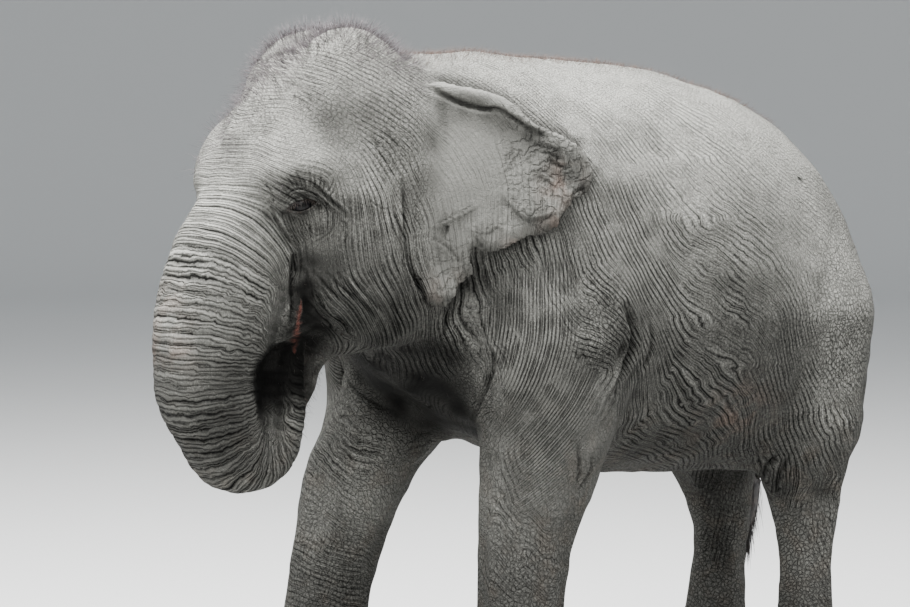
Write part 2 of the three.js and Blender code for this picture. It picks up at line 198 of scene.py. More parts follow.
class Relaxer:
    """Smooths the vertices of a mesh along its edges."""

    def __init__(self, mesh):
        self.mesh = mesh
        self.ends = edges(mesh)
        self.count = np.bincount(self.ends.ravel(), minlength=len(mesh.vertices))

    def mean(self, values):
        a, b = self.ends.T
        total = np.empty_like(values)
        for axis in range(values.shape[1]):
            column = values[:, axis]
            total[:, axis] = np.bincount(a, column[b], len(values))
            total[:, axis] += np.bincount(b, column[a], len(values))
        return total / self.count[:, None]

    def even(self, values, rounds):
        """Numbers at the vertices, evened out along the edges."""
        values = values[:, None]
        for _ in range(rounds):
            values = (1 - EVEN_SHARE) * values + EVEN_SHARE * self.mean(values)
        return values[:, 0]

    def over_edges(self, values):
        """The mean at each vertex of numbers given for the edges."""
        a, b = self.ends.T
        size = len(self.count)
        return (np.bincount(a, values, size) + np.bincount(b, values, size)) / self.count

    def relax(self, rounds, weight=1.0, shrink=False):
        """Without shrink, each round also swells the mesh back, so that its girth stays."""
        co = places(self.mesh)
        share = np.broadcast_to(np.asarray(weight, float), len(co))[:, None]
        for _ in range(rounds):
            for factor in (RELAX_IN,) if shrink else (RELAX_IN, RELAX_OUT):
                co = co + factor * share * (self.mean(co) - co)
        set_places(self.mesh, co)


# ---------------------------------------------------------------- body form

FIRST_CELL = 0.016
HIDE_CELL = 0.0085
OVERLAP = 0.002
HIDE_FACES = 197_000
# Rounds of smoothing for all the flesh, then for the barrel of the body alone.
FORM_ROUNDS, BARREL_ROUNDS = 36, 110


def flesh_names():
    """The nodes that the hide replaces, apart from the ears."""
    others = ("eye_", "ear_", "tail_tuft")
    return sorted(n for n in NODES if not n.startswith(others) and "_nail_" not in n)


def solid_copy(name, grow=0.0):
    """A welded copy of a solid, grown so that it overlaps its neighbours."""
    thing = new_object("copy", NODES[name].data.copy())
    form = bmesh.new()
    form.from_mesh(thing.data)
    bmesh.ops.remove_doubles(form, verts=form.verts, dist=1e-5)
    form.to_mesh(thing.data)
    form.free()
    set_places(thing.data, places(thing.data) + grow * normals(thing.data))
    return thing


def body_form():
    """All the flesh as one closed surface, with the flats of the solids smoothed out."""
    names = flesh_names() + ["eye_left", "eye_right"]
    body = join(*[solid_copy(name, OVERLAP) for name in names])
    apply_modifier(body, "REMESH", mode="VOXEL", voxel_size=FIRST_CELL)
    relaxer = Relaxer(body.data)
    relaxer.relax(FORM_ROUNDS)
    y, z = places(body.data)[:, 1:].T
    barrel = step(y, -0.75, -0.55) * step(z, 0.95, 1.2)
    relaxer.relax(BARREL_ROUNDS, barrel)
    return body


# ---------------------------------------------------------------- ears

EAR_ROOT = np.array((0.345, -0.771, 0))
EAR_TURN = math.radians(38.5)
EAR_ALONG = np.array((math.sin(EAR_TURN), math.cos(EAR_TURN), 0))
EAR_OUT = np.array((math.cos(EAR_TURN), -math.sin(EAR_TURN), 0))
EAR_LEAN = 0.135
EAR_LEAN_FROM, EAR_LEAN_OVER = 1.88, 0.41
EAR_THICK = 0.017
EAR_CELL = 0.006
EAR_MARGIN = 0.006

# Rim from the top of the root round the back to the lobe, then the hidden root inside the head.
EAR_RIM = [
    (427, 87), (437, 81), (456, 86), (483, 91), (497, 97), (510, 104), (521, 115), (531, 124), (548, 130),
    (564, 137), (576, 144), (587, 156), (593, 172), (591, 185), (581, 195), (572, 200), (568, 209),
    (559, 216), (557, 226), (545, 233), (534, 237), (530, 231), (526, 238), (513, 243), (503, 248),
    (494, 252), (483, 251), (476, 247), (470, 249), (469, 262), (476, 272), (472, 277), (463, 282),
    (458, 290), (451, 302), (445, 307), (435, 305), (425, 297), (420, 282), (413, 264), (405, 248),
]
EAR_HIDDEN_ROOT = [(392, 235), (390, 200), (392, 165), (398, 130), (412, 100)]
ROLL_PIXELS = [(432, 84), (456, 88), (483, 93), (500, 99), (513, 108), (523, 118), (534, 126), (548, 131)]
ROLL_RADII = [0.012, 0.021, 0.024, 0.025, 0.023, 0.019, 0.014, 0.009]


def ear_lean(height):
    return -EAR_LEAN * np.clip((height - EAR_LEAN_FROM) / EAR_LEAN_OVER, 0, 1) ** 1.5


def ear_place(s, t, w):
    """Place on the left ear: s back from the root line, t height, w outward from the leaning plate."""
    s, t, w = (np.atleast_1d(v)[:, None] for v in (s, t, w))
    return EAR_ROOT + EAR_ALONG * s + EAR_OUT * (w + ear_lean(t)) + np.array((0, 0, 1)) * t


def on_ear(pixel):
    """Where the sight line of a pixel meets the plate of the left ear, as (s, t)."""
    ray = np.array(sight(pixel))
    start = np.array(CAMERA_PLACE) - EAR_ROOT
    height = 1.9
    for _ in range(8):
        reach = (float(ear_lean(height)) - start @ EAR_OUT) / (ray @ EAR_OUT)
        point = start + reach * ray
        height = point[2]
    return point @ EAR_ALONG, point[2]


def from_ear_root(co):
    """How far each place is back from the root line of its ear, and outward from the ear's plate."""
    away = folded(co) - EAR_ROOT
    return away @ EAR_ALONG, away @ EAR_OUT - ear_lean(co[:, 2])


def distance_to_path(points, path):
    """Shortest distance of each point to a chain of segments."""
    best = np.full(len(points), np.inf)
    for a, b in zip(path[:-1], path[1:]):
        along = b - a
        t = np.clip((points - a) @ along / max(float(along @ along), 1e-12), 0, 1)
        gap = np.linalg.norm(points - a - t[:, None] * along, axis=1)
        best = np.minimum(best, gap)
    return best


def ear_rim():
    return np.array([on_ear(p) for p in EAR_RIM])


def ear_sheet():
    """The left ear cut from a flat sheet, then bent, thinned to its rim and rippled."""
    rim = ear_rim()
    run = np.gradient(rim, axis=0)
    rim += EAR_MARGIN * np.c_[-run[:, 1], run[:, 0]] / np.linalg.norm(run, axis=1)[:, None]
    outline = np.vstack([rim, [on_ear(p) for p in EAR_HIDDEN_ROOT]])
    form = bmesh.new()
    face = form.faces.new([form.verts.new((s, t, -EAR_THICK / 2)) for s, t in outline])
    pulled = bmesh.ops.extrude_face_region(form, geom=[face])
    top = [v for v in pulled["geom"] if isinstance(v, bmesh.types.BMVert)]
    bmesh.ops.translate(form, verts=top, vec=(0, 0, EAR_THICK))
    bmesh.ops.recalc_face_normals(form, faces=form.faces)
    mesh = bpy.data.meshes.new("ear")
    form.to_mesh(mesh)
    form.free()
    ear = new_object("ear", mesh)
    apply_modifier(ear, "REMESH", mode="VOXEL", voxel_size=EAR_CELL)
    Relaxer(ear.data).relax(2, shrink=True)
    s, t, w = places(ear.data).T
    from_rim = distance_to_path(np.c_[s, t], rim)
    thin = 0.45 + 0.55 * step(from_rim, 0, 0.04)
    root = step(s, 0.09, -0.02)
    flat = np.c_[s, t, np.zeros(len(s))]
    back = step(s, 0.16, 0.42)
    ripple = 0.010 * noise(flat * 9, 1) * back + 0.004 * noise(flat * 24, 2) * back
    frill = 0.012 * noise(flat * 22, 3) * step(from_rim, 0.05, 0) * step(t, 2.0, 1.85)
    cup = -0.016 * step(from_rim, 0.02, 0.14)
    w = w * thin * (1 + 1.5 * root) + ripple + frill + cup * (1 - root)
    set_places(ear.data, ear_place(s, t, w))
    return ear


def ear_roll():
    """The top rim of the left ear, rolled over outward."""
    data = bpy.data.curves.new("roll", "CURVE")
    data.dimensions = "3D"
    data.bevel_depth = 1
    data.bevel_resolution = 3
    data.use_fill_caps = True
    s, t = np.array([on_ear(p) for p in ROLL_PIXELS]).T
    radii = np.array(ROLL_RADII)
    line = ear_place(s, t - 0.6 * radii, 0.7 * radii)
    spline = data.splines.new("POLY")
    spline.points.add(len(line) - 1)
    for point, place, radius in zip(spline.points, line, radii):
        point.co = (*place, 1)
        point.radius = radius
    roll = bpy.data.objects.new("roll", data)
    bpy.context.scene.collection.objects.link(roll)
    only(roll)
    bpy.ops.object.convert(target="MESH")
    return roll


def mirrored(thing):
    """A copy on the other side of the animal, with its faces turned to point out."""
    twin = new_object(thing.name, thing.data.copy())
    co = places(twin.data)
    set_places(twin.data, co * np.array((-1, 1, 1)))
    twin.data.flip_normals()
    return twin


def with_ears(body):
    """The body with both ears as one surface, eased where they join."""
    ear = join(ear_sheet(), ear_roll())
    body = join(body, ear, mirrored(ear))
    apply_modifier(body, "REMESH", mode="VOXEL", voxel_size=HIDE_CELL)
    relaxer = Relaxer(body.data)
    relaxer.relax(4)
    co = places(body.data)
    s, w = from_ear_root(co)
    joint = np.exp(-((s - 0.03) / 0.035) ** 2) * (np.abs(w) < 0.07) * step(co[:, 2], 1.62, 1.75)
    relaxer.relax(6, joint, shrink=True)
    return body


# ---------------------------------------------------------------- trunk

# Centre line of the trunk from its root down and round to its tip: y, z and radius.
TRUNK_LINE = [
    (-1.051, 2.060, 0.190), (-1.169, 1.880, 0.180), (-1.296, 1.700, 0.182), (-1.359, 1.500, 0.172),
    (-1.363, 1.300, 0.156), (-1.323, 1.170, 0.131), (-1.246, 1.100, 0.106), (-1.169, 1.092, 0.092),
    (-1.119, 1.132, 0.087), (-1.115, 1.215, 0.080), (-1.111, 1.320, 0.074), (-1.096, 1.430, 0.066),
    (-1.066, 1.520, 0.058),
]
# Where along the trunk its end is drawn back toward the mouth, over what length and how far.
TRUNK_BEND, TRUNK_DRAW_OVER = 1.15, 0.22
TRUNK_DRAW = 0.046
# Spacing of the trunk's rings, and of the wrinkles everywhere else.
RING = 0.035
WRINKLE = 0.0170


def trunk_axis(drawn_back=TRUNK_DRAW):
    """Fine points of the centre line with their distances along it."""
    line = curve_through(TRUNK_LINE, 0.008)
    run = np.r_[0, np.cumsum(np.linalg.norm(np.diff(line[:, :2], axis=0), axis=1))]
    line[:, 0] += drawn_back * step(run, TRUNK_BEND, TRUNK_BEND + TRUNK_DRAW_OVER)
    return line, run


def trunk_share(co, drawn_back=TRUNK_DRAW):
    """For each place: distance along the trunk, and how far it belongs to the trunk (0 to 1)."""
    line, run = trunk_axis(drawn_back)
    along = np.zeros(len(co))
    best = np.full(len(co), np.inf)
    front = (co[:, 1] < -0.80) & (np.abs(co[:, 0]) < 0.3)
    close = np.flatnonzero(front & (co[:, 2] > 0.85) & (co[:, 2] < 2.25))
    part = co[close]
    gap = np.full(len(part), np.inf)
    hit = np.zeros(len(part), int)
    for i, (y, z, radius) in enumerate(line):
        d = np.sqrt(part[:, 0] ** 2 + (part[:, 1] - y) ** 2 + (part[:, 2] - z) ** 2) / radius
        nearer = d < gap
        gap[nearer] = d[nearer]
        hit[nearer] = i
    along[close] = run[hit]
    best[close] = gap
    share = step(best, 1.42, 1.12) * step(co[:, 2], 2.16, 1.98) * step(co[:, 1], -0.80, -0.98)
    return along, share


# ---------------------------------------------------------------- places on the hide


class Surface:
    """Looks up places on the hide by pixel."""

    def __init__(self, thing):
        bpy.context.view_layer.update()
        self.thing = thing

    def hit(self, pixel):
        """Place and normal under a pixel, or nothing."""
        found, place, normal, _ = self.thing.ray_cast(CAMERA_PLACE, sight(pixel))
        return (np.array(place), np.array(normal)) if found else None

    def nearest(self, place):
        return np.array(self.thing.closest_point_on_mesh(Vector(place))[1])

    def spots(self, marks):
        """The place of each mark whose pixel lies on the hide, with the mark's other values."""
        for pixel, *values in marks:
            found = self.hit(pixel)
            if found is not None:
                yield found[0], values

    def path(self, pixels):
        """The curve drawn by these pixels, laid on the hide."""
        spots = [self.hit(p) for p in curve_through(pixels, 2.0)]
        return np.array([s[0] for s in spots if s is not None])

    def twin(self, path):
        """The same curve on the other side."""
        return np.array([self.nearest(p * (-1, 1, 1)) for p in path])


# Broad swells and hollows: pixel, radius and height in metres.
SWELLS = [
    ((196, 452), 0.11, -0.020), ((868, 350), 0.20, -0.030), ((292, 176), 0.045, 0.008),
    ((330, 128), 0.075, -0.012), ((300, 128), 0.060, 0.008), ((276, 232), 0.045, -0.010),
    ((321, 222), 0.032, 0.009), ((325, 262), 0.050, -0.012), ((375, 240), 0.110, 0.010),
    ((380, 330), 0.090, 0.012), ((240, 134), 0.035, 0.008), ((262, 130), 0.045, -0.008),
    ((201, 178), 0.060, 0.022), ((590, 345), 0.090, 0.022), ((560, 285), 0.100, -0.012),
    ((478, 288), 0.070, -0.020), ((466, 345), 0.060, 0.016), ((500, 400), 0.090, 0.010),
    ((672, 330), 0.140, 0.012), ((745, 420), 0.120, 0.010), ((590, 455), 0.070, 0.012),
    ((626, 355), 0.050, -0.022), ((770, 468), 0.060, -0.015), ((520, 380), 0.110, 0.012),
    ((447, 325), 0.040, -0.015), ((300, 181), 0.032, -0.007), ((320, 374), 0.030, -0.026),
    ((308, 300), 0.035, -0.012),
]

# The same for the right side alone: what shows of the head past its middle, and the far shoulder.
FAR_SWELLS = [
    ((292, 38), 0.090, -0.024), ((262, 58), 0.090, -0.018), ((234, 98), 0.090, -0.026),
    ((216, 130), 0.080, -0.026), ((323, 388), 0.080, -0.085), ((330, 370), 0.055, -0.050),
    ((318, 425), 0.070, -0.030),
]

# Where the ridge between neck and foreleg is eased away.
CHEST_EASED = [(365, 375), (395, 388), (422, 402)]
CHEST_REACH = 0.075
CHEST_ROUNDS = 70

# Chin and lower lip: centre, radius, and how far each goes back and up.
CHIN = ((0, -0.880, 1.375), 0.085, 0.0, 0.055)
LIP = ((0, -0.985, 1.320), 0.075, -0.022, -0.030)
# The front of the trunk's root, which is smoothed.
TRUNK_ROOT = (0, -1.30, 1.985)
TRUNK_ROOT_REACH = 0.11
TRUNK_ROOT_ROUNDS = 60

# Named folds: pixels, depth and half width in millimetres.
FOLDS = [
    # round the eye
    ([(286, 203), (291, 196), (296, 194), (304, 195), (311, 196), (317, 199), (325, 206), (331, 212),
      (336, 218)], 6, 3),
    ([(284, 199), (292, 191), (298, 189), (305, 190), (315, 194), (323, 200), (330, 207),
      (336, 214)], 6, 3),
    ([(311, 184), (317, 189), (325, 195), (331, 201), (336, 205), (344, 213), (346, 217)], 10, 5),
    ([(262, 182), (268, 187), (272, 192), (274, 205)], 7, 4),
    ([(272, 208), (275, 219), (281, 230), (288, 239), (296, 249), (298, 257)], 10, 5),
    ([(309, 221), (311, 232), (318, 236), (326, 232)], 4, 3),
    ([(332, 213), (334, 224), (330, 233), (320, 240), (311, 246)], 4, 3),
    ([(339, 219), (344, 225), (342, 235)], 3, 3),
    ([(345, 222), (348, 232), (344, 244)], 4, 3),
    # forehead and temple
    ([(309, 40), (308, 50), (303, 66)], 4, 12),
    ([(312, 56), (329, 58), (350, 66)], 2.5, 4),
    ([(239, 105), (252, 102), (265, 97), (272, 95)], 2, 3),
    ([(249, 112), (265, 109), (277, 103)], 2, 3),
    ([(279, 84), (290, 83), (300, 88), (309, 98), (316, 107)], 3, 5),
    ([(285, 98), (298, 98), (307, 107), (314, 120)], 3, 5),
    ([(370, 130), (376, 144), (382, 156), (392, 167)], 4, 4),
    ([(386, 132), (393, 141), (400, 147)], 4, 4),
    # cheek
    ([(366, 192), (368, 207), (371, 221), (375, 240), (375, 256), (373, 280)], 4, 4),
    ([(377, 200), (381, 221), (383, 245), (387, 269)], 4, 4),
    ([(393, 197), (395, 216), (400, 233), (402, 252)], 5, 5),
    ([(370, 201), (383, 209), (393, 208)], 2.5, 3),
    ([(356, 196), (358, 212), (361, 230)], 2.5, 3),
    ([(348, 196), (349, 212)], 2.5, 3),
    ([(403, 182), (405, 205), (405, 225), (406, 243), (410, 265), (417, 281), (425, 298),
      (432, 310)], 15, 8),
    # jaw
    ([(313, 272), (330, 290), (345, 302), (359, 319), (368, 336)], 6, 5),
    ([(326, 273), (342, 288), (359, 301), (373, 317), (382, 334), (385, 345)], 6, 5),
    ([(338, 274), (354, 293), (370, 310), (382, 325), (389, 342)], 6, 5),
    ([(350, 276), (363, 291), (375, 304), (388, 319), (396, 337)], 6, 5),
    ([(363, 281), (375, 297), (388, 313), (396, 325), (400, 337)], 5, 5),
    ([(377, 265), (381, 283), (391, 302), (400, 317), (406, 332)], 6, 5),
    ([(393, 262), (397, 279), (406, 302), (412, 325)], 6, 5),
    ([(321, 297), (330, 308), (340, 322), (350, 332), (361, 348)], 7, 6),
    ([(300, 262), (306, 275), (311, 290), (314, 306)], 6, 6),
    # trunk against mouth
    ([(294, 258), (292, 275), (292, 292), (293, 305), (291, 322)], 20, 8),
    # body
    ([(626, 308), (632, 325), (633, 339), (631, 353), (626, 364), (622, 377), (617, 391)], 22, 14),
    ([(648, 318), (652, 335), (650, 352), (642, 370)], 6, 8),
    ([(577, 444), (579, 462), (577, 483)], 6, 6),
    ([(591, 452), (591, 469), (577, 492)], 8, 7),
    ([(494, 355), (492, 373), (486, 389), (479, 403), (472, 420)], 12, 9),
    ([(448, 312), (446, 325), (445, 338)], 9, 9),
    ([(761, 480), (766, 468), (779, 452)], 12, 10),
    ([(775, 492), (781, 472), (792, 452)], 6, 8),
    # ear, where a negative depth is a raised vein
    ([(430, 89), (445, 96), (463, 104), (483, 109), (496, 109), (506, 114), (516, 121), (528, 129),
      (541, 134)], 12, 7),
    ([(504, 193), (513, 206), (524, 216), (536, 217), (549, 214), (564, 209)], -8, 6),
    ([(528, 178), (539, 174), (549, 179), (557, 186)], -6, 6),
    ([(521, 145), (511, 160), (501, 174)], -3, 4),
    ([(431, 227), (445, 223), (456, 217), (468, 211), (480, 203)], -4, 5),
    ([(468, 229), (478, 231), (488, 232), (496, 226), (509, 231)], -6, 5),
    ([(473, 232), (478, 237), (483, 244), (490, 251)], -6, 5),
    ([(536, 145), (549, 148), (562, 153)], 7, 5),
    ([(540, 151), (552, 155), (563, 160)], 6, 5),
    ([(408, 239), (423, 236), (440, 242), (453, 254), (463, 268)], 2.5, 4),
    ([(548, 160), (557, 165), (568, 168)], 5, 5),
    ([(572, 200), (576, 192), (586, 188)], 6, 5),
]

# The red lining that shows along the lower lip: pixels and half width in metres.
INNER_LIP = [(301, 304), (299, 316), (297, 332), (295, 344), (294, 352)]
INNER_LIP_WIDTH = 0.009

# Patches of colour, painted shade and painted light: pixel, radius in metres and strength.
# Painted shade: dark spots where shade falls, in the mouth, under the jaw, on chest and neck, in the temple's
# hollow, on the trunk, on the ear and in the body's folds and undersides.
PAINTED_SHADE = [
    # eye: darker skin and painted shade round it
    ((283, 213), 0.012, 0.80), ((288, 212), 0.013, 0.90), ((294, 208), 0.015, 0.92),
    ((300, 203), 0.016, 0.92), ((307, 201), 0.015, 0.92), ((314, 203), 0.013, 0.90),
    ((320, 206), 0.011, 0.80), ((302, 213), 0.014, 0.80), ((292, 217), 0.013, 0.75),
    ((302, 206), 0.060, 0.52), ((290, 235), 0.040, 0.50), ((300, 182), 0.036, 0.55),
    ((284, 190), 0.030, 0.40), ((318, 188), 0.030, 0.40), ((331, 202), 0.030, 0.40),
    ((271, 213), 0.040, 0.45), ((345, 215), 0.045, 0.25),
    # painted shade in the mouth and on the upper part of the lip
    ((300, 258), 0.034, 0.80), ((312, 262), 0.040, 0.85), ((335, 265), 0.055, 0.65),
    ((306, 285), 0.048, 0.97), ((325, 280), 0.045, 0.75), ((305, 310), 0.050, 0.99),
    ((290, 332), 0.026, 0.92), ((280, 343), 0.022, 0.92), ((298, 336), 0.024, 0.85),
    ((318, 318), 0.040, 0.88), ((316, 345), 0.045, 0.50), ((312, 338), 0.026, 0.60),
    ((297, 268), 0.022, 0.92), ((297, 290), 0.024, 0.92), ((303, 324), 0.050, 0.98),
    ((316, 327), 0.050, 0.98), ((303, 338), 0.045, 0.97), ((311, 345), 0.045, 0.96),
    ((328, 330), 0.040, 0.70), ((304, 300), 0.040, 0.95),
    # painted shade under the jaw and on the chest
    ((375, 345), 0.070, 0.60), ((400, 310), 0.090, 0.55), ((375, 368), 0.055, 0.93),
    ((420, 378), 0.120, 0.96), ((430, 408), 0.100, 0.90), ((385, 412), 0.070, 0.40),
    ((395, 388), 0.080, 0.93), ((458, 408), 0.060, 0.90), ((370, 262), 0.100, 0.28),
    ((384, 357), 0.050, 0.92), ((408, 351), 0.060, 0.93), ((432, 347), 0.060, 0.90),
    ((450, 356), 0.050, 0.80), ((445, 388), 0.090, 0.88), ((452, 424), 0.070, 0.88),
    ((425, 426), 0.080, 0.88), ((400, 416), 0.060, 0.70), ((360, 378), 0.040, 0.50),
    # painted shade on the neck and in the temple's hollow
    ((506, 305), 0.070, 0.70), ((484, 275), 0.050, 0.55), ((325, 122), 0.080, 0.50),
    ((395, 150), 0.060, 0.48), ((406, 195), 0.050, 0.32), ((360, 235), 0.120, 0.18),
    ((345, 325), 0.070, 0.35),
    # painted shade on the trunk
    ((232, 385), 0.130, 0.60), ((225, 440), 0.130, 0.56), ((250, 330), 0.080, 0.25),
    ((282, 330), 0.040, 0.40),
    # ear: painted shadow under its roll, painted shade along its root, then its darker tip
    ((440, 106), 0.030, 0.50), ((462, 113), 0.030, 0.45), ((485, 119), 0.030, 0.45),
    ((505, 128), 0.030, 0.45), ((430, 140), 0.045, 0.45), ((427, 185), 0.050, 0.45),
    ((532, 142), 0.050, 0.50), ((556, 152), 0.030, 0.45), ((583, 187), 0.028, 0.85),
    ((572, 180), 0.036, 0.45), ((575, 160), 0.034, 0.35), ((455, 165), 0.100, 0.15),
    # painted shade in the folds and on the undersides of the body
    ((626, 365), 0.040, 0.50), ((616, 395), 0.040, 0.40), ((600, 455), 0.040, 0.35),
    ((690, 440), 0.130, 0.30), ((645, 450), 0.090, 0.25), ((715, 480), 0.100, 0.55),
    ((742, 475), 0.060, 0.50), ((775, 485), 0.060, 0.30),
]
# Paler places: in part paler skin, in part painted light on the tops of head and back, on the rump and on the
# legs.
PALE_AND_LIT = [
    ((340, 50), 0.22, 0.5), ((290, 60), 0.18, 0.5), ((255, 110), 0.20, 0.4), ((455, 180), 0.10, 0.3),
    ((445, 285), 0.07, 0.3), ((560, 90), 0.30, 0.4), ((700, 130), 0.30, 0.4), ((220, 190), 0.12, 0.4),
    ((500, 225), 0.06, 0.3), ((840, 290), 0.26, 0.8), ((815, 420), 0.20, 0.5), ((530, 510), 0.20, 0.2),
    ((345, 520), 0.22, 0.6), ((815, 545), 0.16, 0.6),
]
# Places that are lighter still: in part worn skin, as at the elbow, in part painted light.
WORN_AND_LIT = [
    ((285, 62), 0.11, 0.5), ((168, 330), 0.10, 0.5), ((602, 340), 0.06, 1.0), ((603, 382), 0.06, 0.4),
    ((545, 240), 0.05, 0.6), ((515, 242), 0.04, 0.6), ((450, 325), 0.05, 0.5), ((832, 400), 0.16, 0.5),
    ((441, 280), 0.05, 0.5),
]
# Where fine straight lines take the place of the wrinkles.
STRAIGHT = [
    ((520, 300), 0.10, 1.0), ((545, 340), 0.10, 1.0), ((520, 380), 0.10, 0.95), ((560, 400), 0.10, 1.0),
    ((585, 388), 0.05, 0.9), ((545, 450), 0.10, 0.9), ((500, 330), 0.06, 0.8), ((535, 500), 0.08, 0.5),
    ((505, 430), 0.07, 0.6), ((560, 280), 0.08, 0.8),
]
# Their spacing, the height below which they lean, how much they lean, and how far they hide the wrinkles.
STRAIGHT_GAP = 0.0125
STRAIGHT_LEANS_FROM = 1.55
STRAIGHT_LEAN = 1.1
STRAIGHT_COVER = 0.85
PINK = [
    ((558, 190), 0.050, 0.45), ((566, 175), 0.050, 0.4), ((556, 222), 0.050, 0.3), ((515, 240), 0.040, 0.2),
    ((447, 292), 0.060, 0.2), ((735, 415), 0.120, 0.25), ((172, 350), 0.080, 0.2), ((165, 300), 0.080, 0.15),
]


# Short creases that fan out over the eye: centre pixel, then angles in degrees and reaches in pixels.
FAN_CENTRE = (304, 216)
FAN_ANGLES = range(38, 156, 8)
FAN_START, FAN_REACH = 27, (13, 19, 10, 16)
# Close creases under the front corner of the eye, each a little behind the last: the first one, the step
# from one to the next and their number.
UNDER_EYE = [(281, 212), (286, 226), (293, 239), (301, 250)]
UNDER_STEP = (3.4, 0.9)
UNDER_COUNT = 8


def small_folds():
    """The creases over and under the eye as named folds."""
    folds = []
    for i, angle in enumerate(FAN_ANGLES):
        turn = math.radians(angle)
        start = FAN_START + 5 * abs(math.cos(turn))
        reach = FAN_REACH[i % len(FAN_REACH)]
        line = []
        for k in range(4):
            r, bend = start + reach * k / 3, turn + 0.12 * (k / 3) ** 2
            line.append((FAN_CENTRE[0] + r * math.cos(bend), FAN_CENTRE[1] - r * math.sin(bend)))
        folds.append((line, 4, 3))
    for i in range(UNDER_COUNT):
        short = 1 - 0.07 * i
        x0, y0 = UNDER_EYE[0]
        right, down = UNDER_STEP
        line = [(x0 + (x - x0) * short + right * i, y0 + (y - y0) * short + down * i) for x, y in UNDER_EYE]
        folds.append((line, 8, 2.4))
    return folds


def swell(hide, surface):
    """Raises and hollows broad spots, then eases the chest."""
    co = places(hide.data)
    n = normals(hide.data)
    lift = np.zeros(len(co))
    for marks, sides in ((SWELLS, (1, -1)), (FAR_SWELLS, (1,))):
        for place, (radius, height) in surface.spots(marks):
            for side in sides:
                lift += height * near(co, place * (side, 1, 1), radius)
    set_places(hide.data, co + lift[:, None] * n)
    left = folded(co)
    chest = np.zeros(len(co))
    for pixel in CHEST_EASED:
        x, y, z = surface.hit(pixel)[0]
        chest = np.maximum(chest, near(left, (abs(x), y, z), CHEST_REACH))
    Relaxer(hide.data).relax(CHEST_ROUNDS, chest, shrink=True)


def shape_mouth(hide):
    """Draws the trunk's end back toward the mouth, shapes chin and lip and eases the trunk's root."""
    co = places(hide.data)
    along, share = trunk_share(co, 0)
    rising = step(along, TRUNK_BEND, TRUNK_BEND + TRUNK_DRAW_OVER) * share * step(co[:, 2], 1.62, 1.5)
    co[:, 1] += TRUNK_DRAW * rising
    for centre, radius, back, up in (CHIN, LIP):
        spot = near(co, centre, radius) * (1 - share)
        co[:, 1] += back * spot
        co[:, 2] += up * spot
    set_places(hide.data, co)
    Relaxer(hide.data).relax(TRUNK_ROOT_ROUNDS, near(co, TRUNK_ROOT, TRUNK_ROOT_REACH), shrink=True)


def fold_paths(surface):
    """Every named fold on both sides: path, depth and half width in metres."""
    found = []
    for pixels, depth, width in FOLDS + small_folds():
        path = surface.path(pixels)
        if len(path) < 2:
            continue
        for line in (path, surface.twin(path)):
            found.append((line, depth / 1000, width / 1000))
    return found


def path_gap(co, path, reach):
    """Distance to a path for the places within reach of it, with their indices."""
    low, high = path.min(0) - reach, path.max(0) + reach
    close = np.flatnonzero(((co > low) & (co < high)).all(1))
    return close, distance_to_path(co[close], path)


def fade_ends(co, path):
    """Softens a fold at its two ends."""
    length = np.linalg.norm(np.diff(path, axis=0), axis=1).sum()
    ends = np.minimum(np.linalg.norm(co - path[0], axis=1), np.linalg.norm(co - path[-1], axis=1))
    return step(ends, 0, 0.25 * length)


# The deepest that crossing folds may press, and the highest that they may raise.
FOLD_FLOOR, FOLD_TOP = -0.022, 0.010


def press_folds(hide, paths):
    """Presses each fold in, with a low bank on both its sides."""
    co = places(hide.data)
    n = normals(hide.data)
    lift = np.zeros(len(co))
    for path, depth, width in paths:
        close, gap = path_gap(co, path, 5 * width)
        shape = -np.exp(-((gap / width) ** 2))
        if depth > 0:
            shape += 0.45 * np.exp(-(((gap - 2.1 * width) / width) ** 2))
        lift[close] += depth * shape * (0.3 + 0.7 * fade_ends(co[close], path))
    set_places(hide.data, co + np.clip(lift, FOLD_FLOOR, FOLD_TOP)[:, None] * n)


def furrows(co, paths):
    """How far each place lies in a named fold, 0 to 1, read by the material as relief and as painted shade.
    """
    dark = np.zeros(len(co))
    for path, depth, width in paths:
        close, gap = path_gap(co, path, 3 * width)
        off = gap if depth > 0 else gap - 1.5 * width
        strength = min(1, depth / 0.006) if depth > 0 else 0.45
        value = np.exp(-((off / (0.7 * width)) ** 2)) * strength * fade_ends(co[close], path)
        dark[close] = np.maximum(dark[close], value)
    return dark


# ---------------------------------------------------------------- run of the wrinkles

PHASE_ROUNDS = 1500
# How firmly the wrinkle count is held across an edge where it can't run on.
LOOSE = 0.002
# How far the count may miss the wished slope: past the first share no wrinkle shows, under the second all do.
TORN, TRUE = 0.48, 0.22

